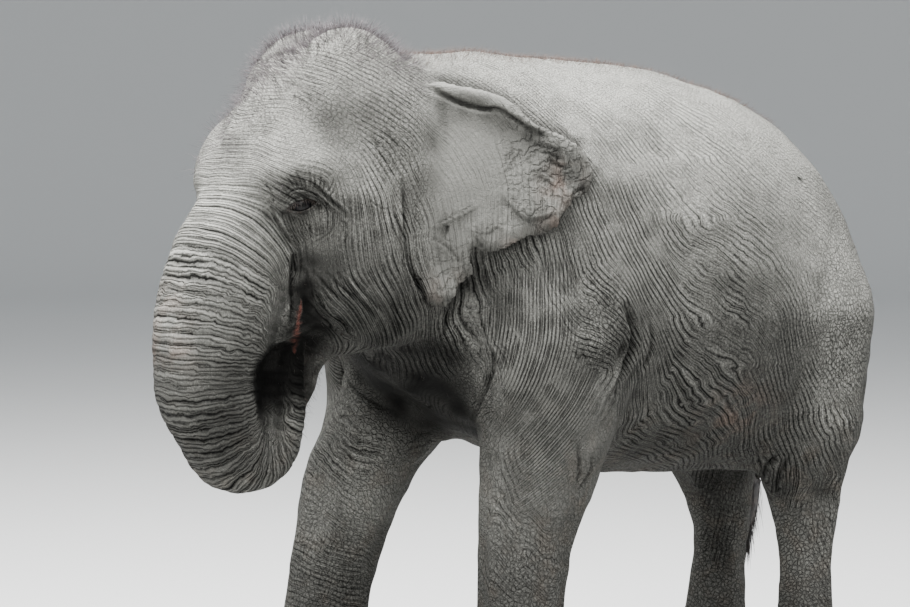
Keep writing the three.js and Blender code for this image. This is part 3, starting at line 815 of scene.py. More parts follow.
# Pixel, angle of the wrinkles as seen (degrees, counter-clockwise from rightward), depth, net.
LIE = [
    (350, 45, -15, 0.42, 0.2), (270, 60, 5, 0.25, 0.2), (260, 110, 15, 0.42, 0.2),
    (325, 110, -50, 0.22, 0.3), (290, 140, 0, 0.12, 0.1), (370, 90, -25, 0.42, 0.3),
    (400, 110, -30, 0.48, 0.5), (320, 70, -25, 0.40, 0.2), (250, 210, -60, 0.5, 0.2),
    (265, 190, -45, 0.7, 0.1), (350, 230, 90, 0.5, 0.2), (385, 220, -80, 0.8, 0.2),
    (350, 310, -50, 1.0, 0.1), (390, 310, -65, 1.0, 0.1), (330, 350, 90, 0.8, 0.2),
    (400, 170, -70, 0.50, 0.4), (325, 262, -70, 0.1, 0.1), (470, 290, 87, 1.0, 0.1),
    (540, 290, 85, 1.0, 0.1), (508, 330, 86, 1.0, 0.2), (468, 345, -50, 0.9, 0.5),
    (475, 380, -70, 0.9, 0.4), (500, 370, 84, 1.0, 0.2), (545, 340, 86, 0.8, 0.2), (560, 380, 58, 0.6, 0.2),
    (600, 345, -12, 0.9, 1.0), (606, 320, -30, 0.9, 0.8), (592, 398, 54, 0.5, 0.2),
    (525, 420, 66, 0.45, 0.25), (560, 435, 60, 0.45, 0.25), (495, 440, -80, 0.5, 0.5),
    (505, 480, -70, 0.45, 0.4), (555, 480, 88, 0.35, 0.3), (520, 520, -65, 0.4, 0.35),
    (540, 575, -60, 0.3, 0.5), (640, 380, -80, 1.0, 0.1), (345, 395, 15, 0.6, 0.5),
    (385, 410, 5, 0.35, 0.4), (335, 445, 15, 0.9, 0.3), (330, 500, 20, 0.4, 0.5), (365, 500, 0, 0.15, 0.35),
    (325, 570, 5, 0.5, 0.6), (480, 70, -35, 0.35, 0.2), (600, 90, -35, 0.2, 0.1), (610, 150, -50, 0.5, 0.1),
    (620, 230, -60, 0.9, 0.1), (640, 300, -65, 1.0, 0.1), (700, 180, -40, 0.45, 0.2),
    (720, 260, -20, 0.7, 0.3), (720, 330, -5, 0.8, 0.4), (680, 390, -50, 1.0, 0.2),
    (680, 440, -25, 0.9, 0.3), (750, 450, -70, 0.8, 0.8), (760, 130, -40, 0.2, 0.2),
    (800, 220, -45, 0.3, 0.3), (850, 270, -80, 0.15, 0.6), (840, 350, -20, 0.3, 1.0),
    (800, 370, -60, 0.8, 0.5), (820, 450, -55, 0.8, 0.3), (785, 480, -75, 0.9, 0.3),
    (810, 540, -60, 0.3, 0.6), (775, 430, -90, 0.8, 0.4), (720, 520, -60, 0.4, 0.6),
]
# The same for parts outside the view: place, angle seen from the left side, depth, net.
LIE_HIDDEN = [
    ((0.38, -0.40, 0.30), 0, 0.6, 0.6), ((0.30, 0.85, 0.30), 0, 0.5, 0.6), ((0.30, -0.45, 0.08), 0, 0.2, 0.8),
    ((0.30, 0.85, 0.08), 0, 0.2, 0.8), ((0.20, 1.40, 1.60), 80, 0.4, 0.9), ((0.10, 1.45, 1.20), 70, 0.5, 0.8),
    ((0.00, 0.20, 0.95), 0, 0.6, 0.7), ((0.00, -0.55, 1.20), 80, 0.8, 0.3), ((0.02, 1.45, 1.50), 0, 0.7, 0.3),
]


def lie_points(surface):
    """Places with the doubled angle of the wrinkles, their depth and net."""
    spots, values = [], []
    for px, py, angle, depth, net in LIE:
        spot = surface.hit((px, py))
        if spot is None:
            continue
        place, normal = spot
        turn = math.radians(angle)
        seen = np.array(RIGHT) * math.cos(turn) + np.array(UP) * math.sin(turn)
        view = np.array(sight((px, py)))
        flat = seen - view * (seen @ normal) / (view @ normal)
        level = np.array((-normal[1], normal[0], 0))
        level /= np.linalg.norm(level)
        slope = 2 * math.atan2(flat[2], flat @ level)
        spots.append(place)
        values.append((math.cos(slope), math.sin(slope), depth, net))
    for place, angle, depth, net in LIE_HIDDEN:
        slope = 2 * math.radians(angle)
        spots.append(np.array(place))
        values.append((math.cos(slope), math.sin(slope), depth, net))
    return np.array(spots), np.array(values)


def lie_field(co, n, lie):
    """For each place: the direction across its wrinkles, their depth and net."""
    spots, values = lie
    side = np.where(co[:, 0] < 0, -1.0, 1.0)
    left = folded(co)
    total = np.zeros((len(co), 4))
    mass = np.zeros(len(co))
    for spot, value in zip(spots, values):
        near_by = 1 / (((left - (abs(spot[0]), spot[1], spot[2])) ** 2).sum(1) + 0.0025) ** 2
        total += near_by[:, None] * value
        mass += near_by
    total /= mass[:, None]
    turn = np.arctan2(total[:, 1], total[:, 0]) / 2
    level = np.c_[-n[:, 1], n[:, 0], np.zeros(len(n))] * side[:, None]
    level /= np.linalg.norm(level, axis=1)[:, None] + 1e-9
    rise = np.cross(n, level)
    rise *= np.where(rise[:, 2] < 0, -1.0, 1.0)[:, None]
    across = rise * np.cos(turn)[:, None] - level * np.sin(turn)[:, None]
    across *= np.where(across @ (0, 1.0, 0.6) < 0, -1.0, 1.0)[:, None]
    return across, total[:, 2], total[:, 3]


def wrinkle_phase(mesh, relaxer, lie):
    """A count that grows by one with each wrinkle passed, with their depth, the net and the trunk."""
    co, n = places(mesh), normals(mesh)
    across, depth, net = lie_field(co, n, lie)
    along, trunk = trunk_share(co)
    line, run = trunk_axis()
    heading = np.gradient(line[:, :2], run, axis=0)
    spot = np.clip(np.searchsorted(run, along), 0, len(run) - 1)
    ring = np.c_[np.zeros(len(co)), -heading[spot]]
    ring -= n * (ring * n).sum(1)[:, None]
    slope = across * ((1 - trunk) / WRINKLE)[:, None] + ring * (trunk / RING)[:, None]
    a, b = relaxer.ends.T
    rise = ((slope[a] + slope[b]) / 2 * (co[b] - co[a])).sum(1)
    count = len(co)
    joint = (trunk > 0.02) & (trunk < 0.98) & (along > 1.25)
    crossed = joint[a] | joint[b] | ((np.abs(along[a] - along[b]) > 0.06) & (trunk[a] * trunk[b] > 0))
    hold = np.where(crossed, LOOSE, 1.0)

    def spread(values):
        values = values * hold
        return np.bincount(b, values, count) - np.bincount(a, values, count)

    body = (co @ (0, 0.55, 0.55)) / WRINKLE
    phase = relaxer.even(body * (1 - trunk) - (along / RING) * trunk, 14)
    free = 1.0 - ((trunk > 0.7) & (along > 0.42))
    rest = spread(rise - (phase[b] - phase[a])) * free
    step_along = rest.copy()
    power = rest @ rest
    for _ in range(PHASE_ROUNDS):
        pull = spread(step_along[b] - step_along[a]) * free
        stride = power / (step_along @ pull)
        phase += stride * step_along
        rest -= stride * pull
        fresh = rest @ rest
        step_along = rest + step_along * (fresh / power)
        power = fresh
    span = np.linalg.norm(co[b] - co[a], axis=1)
    miss = np.abs(phase[b] - phase[a] - rise) / (span + 0.002) * WRINKLE
    true = step(relaxer.even(relaxer.over_edges(miss), 8), TORN, TRUE)
    ringed = trunk * (0.30 + 0.70 * step(along, 0.12, 0.50))
    body_depth = depth * (0.10 + 0.90 * true) * (1 - trunk)
    net = np.maximum(net, 0.6 * depth * (1 - true)) * (1 - trunk)
    return phase, body_depth + ringed, net, trunk


def undulate(hide, ear):
    """Soft unevenness of the hide and the rings of the trunk."""
    co = places(hide.data)
    n = normals(hide.data)
    along, trunk = trunk_share(co)
    phase = along / RING + 0.5 * noise(co * 7, 31)
    ring = np.abs(phase % 1 - 0.5) * 2
    lift = -0.0035 * trunk * step(along, 0.05, 0.35) * step(along, 1.9, 1.5) * ring**3
    free = (1 - ear) * step(co[:, 2], 0.1, 0.6)
    lift += (0.006 * noise(co * 6.5, 41) + 0.0025 * noise(co * 21, 42)) * free
    set_places(hide.data, co + lift[:, None] * n)


def ear_crinkle(co):
    """How crinkled the ear is at each place: most toward its back and lower edge."""
    s, _ = from_ear_root(co)
    return ear_share(co) * np.clip(step(s, 0.16, 0.40) + step(co[:, 2], 1.85, 1.70), 0.1, 1)


def ear_shadow(co):
    """How close each place of the body lies behind the free edge of an ear, 0 to 1, for the shadow painted
    there.
    """
    s, w = from_ear_root(co)
    t = co[:, 2]
    value = np.zeros(len(co))
    close = np.flatnonzero((s > 0.0) & (s < 0.8) & (np.abs(w) < 0.22) & (t > 1.4) & (t < 2.5))
    value[close] = np.exp(-((distance_to_path(np.c_[s, t][close], ear_rim()) / 0.030) ** 2))
    return value * (1 - ear_share(co)) * step(s, 0.0, 0.08)


def mouth_cave(co, n):
    """How far each place lies in the dark hollow between trunk and lower lip, 0 to 1: painted near-black
    there as shade.
    """
    along, trunk = trunk_share(co)
    x, y, z = co.T
    foot = 1.27 + 0.05 * noise(co * 14, 51)
    inside = step(z - foot, -0.09, 0.07) * step(z, 1.68, 1.60) * step(np.abs(x), 0.17, 0.11)
    inside *= step(y, -1.36, -1.28) * step(y, -0.96, -1.05)
    column = (trunk > 0.3) & (along > TRUNK_BEND + 0.05)
    limb = (trunk > 0.3) & (along < TRUNK_BEND)
    limb_back = step(n[:, 1], -0.1, 0.45)
    lip_front = step(n[:, 1], -0.25, -0.75) * step(z, 1.30, 1.44)
    facing = np.where(column, 1.0, np.where(limb, limb_back, lip_front))
    return inside * facing


def ear_share(co):
    """How far each place belongs to the free part of an ear (0 to 1)."""
    s, w = from_ear_root(co)
    t = co[:, 2]
    rim = ear_rim()
    inside = np.zeros(len(co), bool)
    for (s0, t0), (s1, t1) in zip(rim, np.roll(rim, -1, axis=0)):
        between = (t0 > t) != (t1 > t)
        if t0 != t1:
            inside ^= between & (s < s0 + (t - t0) / (t1 - t0) * (s1 - s0))
    edge = np.full(len(co), 9.0)
    close = np.flatnonzero((s > -0.1) & (s < 0.8) & (np.abs(w) < 0.1) & (t > 1.4) & (t < 2.5))
    edge[close] = distance_to_path(np.c_[s, t][close], rim)
    within = np.where(inside, 1.0, step(edge, 0.03, 0.01))
    return within * step(s, -0.02, 0.05) * step(np.abs(w), 0.075, 0.045)


# ---------------------------------------------------------------- eyes

EYE_RADIUS = 0.029
LID = 0.004
SLIT = 0.049
SLIT_TOP, SLIT_BOTTOM = 0.019, 0.015
EYE_PLACE = places(NODES["eye_left"].data).mean(0) + (-0.004, 0.001, 0)
EYE_OUT = np.array((0.80, -0.59, -0.10)) / np.linalg.norm((0.80, -0.59, -0.10))
EYE_ALONG = np.array(RIGHT) * 33 + np.array(UP) * 9
EYE_ALONG -= EYE_OUT * (EYE_ALONG @ EYE_OUT)
EYE_ALONG /= np.linalg.norm(EYE_ALONG)
EYE_UP = np.cross(EYE_OUT, EYE_ALONG)
EYE_UP *= math.copysign(1, EYE_UP[2])
# How far round each eye the faces are split, then the same for the cheek.
EYE_FINE = 0.062
CHEEK = (0.30, -1.10, 1.90)
CHEEK_FINE = 0.26


def refine(thing, centres, radius):
    """Splits the faces within a radius of the given places."""
    form = bmesh.new()
    form.from_mesh(thing.data)
    co = places(thing.data)
    wanted = np.zeros(len(co), bool)
    for centre in centres:
        wanted |= ((co - centre) ** 2).sum(1) < radius**2
    form.edges.ensure_lookup_table()
    ends = edges(thing.data)
    chosen = [form.edges[i] for i in np.flatnonzero(wanted[ends].all(1))]
    bmesh.ops.subdivide_edges(form, edges=chosen, cuts=1, use_grid_fill=True)
    form.to_mesh(thing.data)
    form.free()
    thing.data.update()


def open_eyes(hide):
    """Lids laid over the eyeballs, with the slit between them sunk behind the ball."""
    co = places(hide.data)
    side = np.where(co[:, 0] < 0, -1.0, 1.0)
    local = co * np.c_[side, np.ones(len(co)), np.ones(len(co))] - EYE_PLACE
    h, u, v = local @ EYE_OUT, local @ EYE_ALONG, local @ EYE_UP
    across = np.hypot(u, v)
    close = (across < 0.075) & (h > -0.03)
    t = np.clip(1 - (u / SLIT) ** 2, 0, 1)
    top = SLIT_TOP * t**0.75
    bottom = -SLIT_BOTTOM * t**0.9
    inside = np.minimum(top - v, v - bottom)
    inside = np.where(np.abs(u) < SLIT, inside, -np.maximum(np.abs(v), np.abs(u) - SLIT))
    edge = close & (np.abs(inside) < 0.0013) & (np.abs(u) < SLIT)
    v = np.where(edge, np.where(top - v < v - bottom, top, bottom), v)
    ball = np.sqrt(np.clip((EYE_RADIUS + LID) ** 2 - np.minimum(across, EYE_RADIUS) ** 2, 0, None))
    share = step(across, 1.75 * EYE_RADIUS, 0.8 * EYE_RADIUS)
    lid = h * (1 - share) + ball * share
    rim = np.exp(-((inside + 0.003) / 0.003) ** 2) * (np.abs(u) < SLIT * 1.05)
    crease = np.exp(-((inside + 0.009) / 0.0022) ** 2) * (v > 0) * share
    lid += 0.0018 * rim - 0.0025 * crease
    lid -= 0.015 * step(inside, -0.0004, 0.0016)
    h = np.where(close, lid, h)
    moved = EYE_PLACE + h[:, None] * EYE_OUT + u[:, None] * EYE_ALONG + v[:, None] * EYE_UP
    moved[:, 0] *= side
    set_places(hide.data, np.where(close[:, None], moved, co))


def add_eyes():
    """One glossy ball for each eye, with its iris and pupil as colour."""
    bpy.ops.mesh.primitive_uv_sphere_add(segments=48, ring_count=32, radius=EYE_RADIUS)
    ball = bpy.context.object
    ball.name = "eyeball_left"
    turn = Vector(EYE_OUT).to_track_quat("Z", "Y").to_matrix()
    co = places(ball.data)
    bulge = 1 + 0.05 * step(co[:, 2], 0.75 * EYE_RADIUS, EYE_RADIUS)
    co = (co * bulge[:, None]) @ np.array(turn).T + EYE_PLACE
    set_places(ball.data, co)
    other = mirrored(ball)
    other.name = "eyeball_right"
    for thing, node, x in ((ball, "eye_left", 1), (other, "eye_right", -1)):
        finish_piece(thing, eye_material(thing.name, x), "eye", node)


# ---------------------------------------------------------------- materials


class Value:
    """An output socket of a shader node that can stand in sums."""

    def __init__(self, nodes, socket):
        self.nodes = nodes
        self.socket = socket

    def __add__(self, other):
        return self.nodes.sum("ADD", self, other)

    def __sub__(self, other):
        return self.nodes.sum("SUBTRACT", self, other)

    def __rsub__(self, other):
        return self.nodes.sum("SUBTRACT", other, self)

    def __mul__(self, other):
        return self.nodes.sum("MULTIPLY", self, other)

    def __truediv__(self, other):
        return self.nodes.sum("DIVIDE", self, other)

    def __pow__(self, other):
        return self.nodes.sum("POWER", self, other)

    def __abs__(self):
        return self.nodes.sum("ABSOLUTE", self)

    __radd__ = __add__
    __rmul__ = __mul__


class Nodes:
    """The node tree of one material."""

    def __init__(self, name):
        self.material = bpy.data.materials.new(name)
        self.material.use_nodes = True
        self.tree = self.material.node_tree
        self.shader = self.tree.nodes["Principled BSDF"]

    def put(self, socket, value):
        if isinstance(value, Value):
            self.tree.links.new(value.socket, socket)
        else:
            socket.default_value = value

    def node(self, kind, inputs, output=0, **settings):
        node = self.tree.nodes.new(kind)
        for key, value in settings.items():
            setattr(node, key, value)
        for key, value in inputs.items():
            self.put(node.inputs[key], value)
        return Value(self, node.outputs[output])

    def sum(self, operation, *values):
        return self.node("ShaderNodeMath", dict(enumerate(values)), operation=operation)

    def least(self, a, b):
        return self.sum("MINIMUM", a, b)

    def most(self, a, b):
        return self.sum("MAXIMUM", a, b)

    def part(self, vector):
        """The three parts of a vector."""
        node = self.tree.nodes.new("ShaderNodeSeparateXYZ")
        self.put(node.inputs[0], vector)
        return [Value(self, out) for out in node.outputs]

    def vector(self, x, y, z):
        return self.node("ShaderNodeCombineXYZ", {0: x, 1: y, 2: z})

    def attribute(self, name):
        return self.part(self.node("ShaderNodeAttribute", {}, "Vector", attribute_name=name))

    def place(self):
        return self.node("ShaderNodeTexCoord", {}, "Object")

    def moved(self, a, b):
        return self.node("ShaderNodeVectorMath", {0: a, 1: b}, operation="ADD")

    def noise(self, vector, scale, detail=0.0):
        return self.node("ShaderNodeTexNoise", {"Vector": vector, "Scale": scale, "Detail": detail}, "Fac")

    def cells(self, vector, scale):
        """Distance to the edges of irregular cells."""
        settings = dict(feature="DISTANCE_TO_EDGE")
        return self.node("ShaderNodeTexVoronoi", {"Vector": vector, "Scale": scale}, "Distance", **settings)

    def ramp(self, value, low, high, start=0.0, end=1.0):
        settings = dict(interpolation_type="SMOOTHSTEP")
        return self.node("ShaderNodeMapRange", {0: value, 1: low, 2: high, 3: start, 4: end}, **settings)

    def mix(self, a, b, share):
        return self.node("ShaderNodeMix", {0: share, 6: a, 7: b}, 2, data_type="RGBA")

    def shade(self, colour, share):
        """A colour darkened by a share from 0 to 1."""
        settings = dict(data_type="RGBA", blend_type="MULTIPLY")
        return self.node("ShaderNodeMix", {0: 1.0, 6: colour, 7: share}, 2, **settings)

    def bump(self, height):
        """Relief from a height in metres."""
        return self.node("ShaderNodeBump", {"Strength": 1.0, "Distance": 1.0, "Height": height})


# Tones of the hide, and the heights of its relief in metres.
DARK_HIDE, PALE_HIDE = 0.096, 0.47
EARTH = (0.155, 0.115, 0.085, 1)
BARE_PINK = (0.34, 0.215, 0.165, 1)
LIP_LINING = (0.22, 0.085, 0.068, 1)
WRINKLE_DEPTH, GRAIN_DEPTH, EAR_GRAIN_LESS, UNEVEN = 0.0210, 0.0022, 0.0014, 0.004
# How much of the colour is taken away on the ears, and by each kind of painted shade where it is full: in the
# named folds, in hollows and at the shade spots.
EAR_TAKES, FOLD_SHADE_TAKES, HOLLOW_SHADE_TAKES, PAINTED_SHADE_TAKES = 0.46, 0.88, 0.55, 0.985


def grey(value):
    """A slightly warm grey."""
    return (value, value * 0.990, value * 0.905, 1)


def hide_material():
    """Grey hide with wrinkles along their run, fine straight lines, a net of cracks, patches of colour,
    painted shade and painted light.
    """
    g = Nodes("hide")
    place = g.place()
    phase, depth, net = g.attribute("wrinkles")
    trunk, ear, crinkle = g.attribute("form")
    furrow, pale, pink = g.attribute("fold_shade_and_tint")
    # The shade attribute: painted shade at the spots, painted light on upward faces (top) and painted shade
    # in hollows.
    dark, top, hollow = g.attribute("shade")
    bright, lining, straight = g.attribute("light")
    sway = (g.noise(place, 4.5, 1.5) - 0.5) * (1 - trunk * 0.45)
    part_a = g.noise(place, 9.0)
    part_b = g.noise(place, 16.0)
    skin = 1 - ear * 0.8

    def stripes(density, bend):
        turn = g.sum("FRACT", phase * density + sway * bend)
        return abs(turn - 0.5) * 2

    strong = g.ramp(part_a, 0.38, 0.58)
    other = g.ramp(part_b, 0.60, 0.40)
    main, second, third = stripes(1.0, 1.6), stripes(1.43, 3.2), stripes(2.7, 5.0)
    main_share = 0.28 + strong * 0.72
    sharp = 4.0 + trunk * 3.0
    relief = g.most(main**2.4 * main_share, second**3.5 * other * 0.85)
    relief = relief + third**3 * (0.38 + trunk * 0.20)
    # The lines darken the colour: painted shade in the creases of the wrinkles, in the net of cracks, in the
    # ear's crinkles and in the fine straight lines.
    lines = g.most(main**sharp * main_share, second ** (sharp * 1.4) * other * 0.85)
    lines = lines + third**4 * (0.42 + trunk * 0.16)
    mesh = g.cells(g.moved(place, g.vector(sway * 0.09, sway * -0.09, sway * 0.09)), 66.0)
    mesh = (1 - g.ramp(mesh, 0.0, 0.17)) * (net * 0.9 + 0.10)
    crack = g.most(1 - abs(g.noise(place, 26.0, 2.5) * 2 - 1) * 6.0, 0.0) * crinkle
    still = 1 - g.ramp(dark, 0.6, 0.95)
    relief = ((relief * depth + mesh * 0.55) * skin + crack * 0.32 + furrow * 0.6) * still
    lines = (lines * depth + mesh * 0.58) * skin + crack * 0.27
    x, y, z = g.part(place)
    drop = g.least(z - STRAIGHT_LEANS_FROM, 0.0)
    across = (abs(x) * RIGHT[0] + y * RIGHT[1] + drop * drop * STRAIGHT_LEAN) / STRAIGHT_GAP
    comb = abs(g.sum("FRACT", across + sway * 1.5) - 0.5) * 2
    other_comb = abs(g.sum("FRACT", across * 1.37 + sway * 3.0) - 0.5) * 2
    fine = g.most(comb**4 * (0.40 + strong * 0.60), other_comb**5 * other)
    relief = relief * (1 - straight * STRAIGHT_COVER) + fine * straight * still * 0.75
    lines = lines * (1 - straight * STRAIGHT_COVER) + fine * straight * 0.82

    grain = 1 - abs(g.noise(place, 85.0) * 2 - 1) * 3.0
    other_grain = 1 - abs(g.noise(place, 130.0) * 2 - 1) * 3.0
    grain = g.most(g.most(grain, other_grain), 0.0)
    height = relief * -WRINKLE_DEPTH - grain * (GRAIN_DEPTH - ear * EAR_GRAIN_LESS) * still + part_b * UNEVEN

    patch = g.noise(place, 2.2, 4.0)
    blot = g.noise(place, 14.0, 3.0)
    high = g.ramp(z, 0.5, 2.3)
    # Paler with random patches, with painted light on upward faces (top), higher up, and at the pale places.
    paleness_and_light = g.ramp(patch * 0.4 + top * 0.3 + high * 0.35 + pale * 0.35, 0.15, 1.05)
    base = g.mix(grey(DARK_HIDE), grey(PALE_HIDE), paleness_and_light)
    base = g.mix(base, EARTH, g.ramp(blot, 0.45, 0.75) * g.ramp(high, 0.5, 0.1) * 0.22)
    base = g.mix(base, BARE_PINK, pink * g.ramp(blot, 0.35, 0.65))
    base = g.mix(base, LIP_LINING, lining)
    # Painted shade in the lines, the grain darker, painted light at the lighter places, then the ears darker
    # and painted shade in the folds, in hollows and at the shade spots.
    shown = 1 - g.least(lines * 0.84 + grain * (0.32 - ear * 0.18), 0.94)
    shown = shown * (1 + bright * 0.65)
    for spot, takes in ((ear, EAR_TAKES), (furrow, FOLD_SHADE_TAKES), (hollow, HOLLOW_SHADE_TAKES), (dark, PAINTED_SHADE_TAKES)):
        shown = shown * (1 - spot * takes)
    # Painted highlight on the ridges between the wrinkles and between the fine straight lines.
    wear_and_highlight = (1 - main) * depth * skin * main_share * (1 - straight) + (1 - comb) * straight * 0.40
    shown = shown * (0.95 + wear_and_highlight * 0.50)
    g.put(g.shader.inputs["Base Color"], g.shade(base, g.vector(shown, shown, shown)))
    g.shader.inputs["Specular IOR Level"].default_value = 0.04
    g.put(g.shader.inputs["Roughness"], g.ramp(blot, 0.3, 0.7, 0.72, 0.88))
    g.put(g.shader.inputs["Normal"], g.bump(height))
    return g.material


def eye_material(name, side):
    """Near-black, glossy ball with a brown iris, for the eye of one side."""
    g = Nodes(name)
    axis = EYE_OUT * (side, 1, 1)
    centre = EYE_PLACE * (side, 1, 1)
    out = g.moved(g.place(), tuple(-centre))
    lift = g.node("ShaderNodeVectorMath", {0: out, 1: tuple(axis)}, "Value", operation="DOT_PRODUCT")
    pupil = g.ramp(lift, EYE_RADIUS * 0.955, EYE_RADIUS * 0.975)
    iris = g.ramp(lift, EYE_RADIUS * 0.80, EYE_RADIUS * 0.84)
    streak = g.noise(out, 700.0, 2.0)
    brown = g.mix((0.003, 0.0025, 0.003, 1), (0.007, 0.005, 0.005, 1), streak)
    colour = g.mix((0.004, 0.004, 0.005, 1), brown, iris)
    colour = g.mix(colour, (0.002, 0.002, 0.002, 1), pupil)
    g.put(g.shader.inputs["Base Color"], colour)
    g.shader.inputs["Roughness"].default_value = 0.35
    g.shader.inputs["Specular IOR Level"].default_value = 0.1
    g.shader.inputs["Coat Weight"].default_value = 0.08
    g.shader.inputs["Coat Roughness"].default_value = 0.05
    return g.material


# ---------------------------------------------------------------- stage

# The bowl's flat part, the radius of its corner and the height of its wall.
BOWL_FLAT, BOWL_CORNER, BOWL_TOP = 24, 8, 16
SKY_COLOUR = (0.88, 0.94, 1.0, 1)
SKY_STRENGTH = 0.46
# Name, place, size and power of each lamp, and where they all point.
LAMPS = (("sky", (0, -1.5, 8), 8, 3350), ("key", (5, -8, 6), 4, 480), ("rear", (6, 6, 5), 4, 420))
LAMPS_AIM = Vector((0, -0.3, 1.3))


def simple(name, colour, roughness):
    material = bpy.data.materials.new(name)
    material.use_nodes = True
    shader = material.node_tree.nodes["Principled BSDF"]
    shader.inputs["Base Color"].default_value = (*colour, 1)
    shader.inputs["Roughness"].default_value = roughness
    return material


def add_stage():
    """A pale bowl that is floor and backdrop in one, a dim sky and three soft lamps."""
    profile = [(r, 0) for r in (0, 3, 8, 16)]
    for a in np.linspace(0, 0.5 * math.pi, 12):
        profile.append((BOWL_FLAT + BOWL_CORNER * math.sin(a), BOWL_CORNER - BOWL_CORNER * math.cos(a)))
    profile.append((BOWL_FLAT + BOWL_CORNER, BOWL_TOP))
    form = bmesh.new()
    chain = [form.verts.new((r, 0, z)) for r, z in profile]
    links = [form.edges.new(pair) for pair in zip(chain[:-1], chain[1:])]
    bmesh.ops.spin(
        form, geom=chain + links, cent=(0, 0, 0), axis=(0, 0, 1), angle=2 * math.pi, steps=72, use_merge=True,
    )
    bmesh.ops.remove_doubles(form, verts=form.verts, dist=1e-4)
    bmesh.ops.recalc_face_normals(form, faces=form.faces)
    data = bpy.data.meshes.new("floor")
    form.to_mesh(data)
    form.free()
    floor = new_object("floor", data)
    data.materials.append(simple("floor_paint", (0.74, 0.74, 0.73), 0.9))
    only(floor)
    bpy.ops.object.shade_smooth()
    world = bpy.data.worlds.new("studio")
    bpy.context.scene.world = world
    world.use_nodes = True
    sky = world.node_tree.nodes["Background"]
    sky.inputs["Color"].default_value = SKY_COLOUR
    sky.inputs["Strength"].default_value = SKY_STRENGTH
    for name, place, size, power in LAMPS:
        data = bpy.data.lights.new(name, "AREA")
        data.size = size
        data.energy = power
        lamp = bpy.data.objects.new(name, data)
        bpy.context.scene.collection.objects.link(lamp)
        lamp.location = place
        aim = LAMPS_AIM - Vector(place)
        lamp.rotation_euler = aim.to_track_quat("-Z", "Y").to_euler()


# ---------------------------------------------------------------- what the hide's material reads


def store(mesh, name, *columns):
    """Three numbers for each vertex, read by the material."""
    data = mesh.attributes.new(name, "FLOAT_VECTOR", "POINT")
    data.data.foreach_set("vector", np.stack(columns, 1).astype(np.float32).ravel())


def patches(co, surface, marks):
    """How far soft spots cover each place together, 0 to 1, the same on both sides."""
    left = folded(co)
    bare = np.ones(len(co))
    for (x, y, z), (radius, strength) in surface.spots(marks):
        bare *= 1 - strength * near(left, (abs(x), y, z), radius)
    return 1 - bare


def hollows(mesh, relaxer):
    """How deep each place lies below its smoothed surroundings, 0 to 1; the material darkens these places as
    painted shade.
    """
    co = places(mesh)
    smooth = co
    for _ in range(12):
        smooth = smooth + EVEN_SHARE * (relaxer.mean(smooth) - smooth)
    sink = ((smooth - co) * normals(mesh)).sum(1)
    return step(sink, 0.0006, 0.007)


# ---------------------------------------------------------------- hair and nails

HAIR_SEED = 5
# How deep a hair is rooted, as a share of its length, and how much thinner it is near its tip.
ROOTED = 0.06
TAPER = 0.7
# The bake map: the height that the body is unrolled round, half its length, and the size of a hair's patch.
UNROLL_HEIGHT = 1.4
UNROLL_REACH = 1.7
HAIR_PATCH = 0.003
TUFT_HAIRS = 1700
LASHES = 46


def scatter(hide, share, count, rng):
    """Random places on the hide with their normals, more of them where the share is higher."""
    mesh = hide.data
    corners = np.empty(len(mesh.polygons) * 3, np.int64)
    mesh.polygons.foreach_get("vertices", corners)
    corners = corners.reshape(-1, 3)
    co, n = places(mesh), normals(mesh)
    a, b, c = (co[corners[:, i]] for i in range(3))
    area = np.linalg.norm(np.cross(b - a, c - a), axis=1)
    chance = area * share(co, n)[corners].mean(1)
    pick = rng.choice(len(corners), count, p=chance / chance.sum())
    u, v = rng.random((2, count, 1))
    flip = u + v > 1
    u, v = np.where(flip, 1 - u, u), np.where(flip, 1 - v, v)
    a, b, c = a[pick], b[pick], c[pick]
    return a + u * (b - a) + v * (c - a), n[corners[pick, 0]]


def unit(vectors):
    return vectors / np.linalg.norm(vectors, axis=1)[:, None]


def bake_map(mesh, roots, patch):
    """Each hair is a small patch at its root's place on the hide unrolled round the length of the body."""
    around = 0.5 + np.arctan2(roots[:, 0], roots[:, 2] - UNROLL_HEIGHT) / (2 * math.pi)
    along = (roots[:, 1] + UNROLL_REACH) / (2 * UNROLL_REACH)
    spots = np.c_[around, along] * 0.99 + patch * HAIR_PATCH
    layer = mesh.uv_layers.new(name="OFBake")
    corner = np.empty(len(mesh.loops), np.int64)
    mesh.loops.foreach_get("vertex_index", corner)
    layer.data.foreach_set("uv", spots[corner].astype(np.float32).ravel())


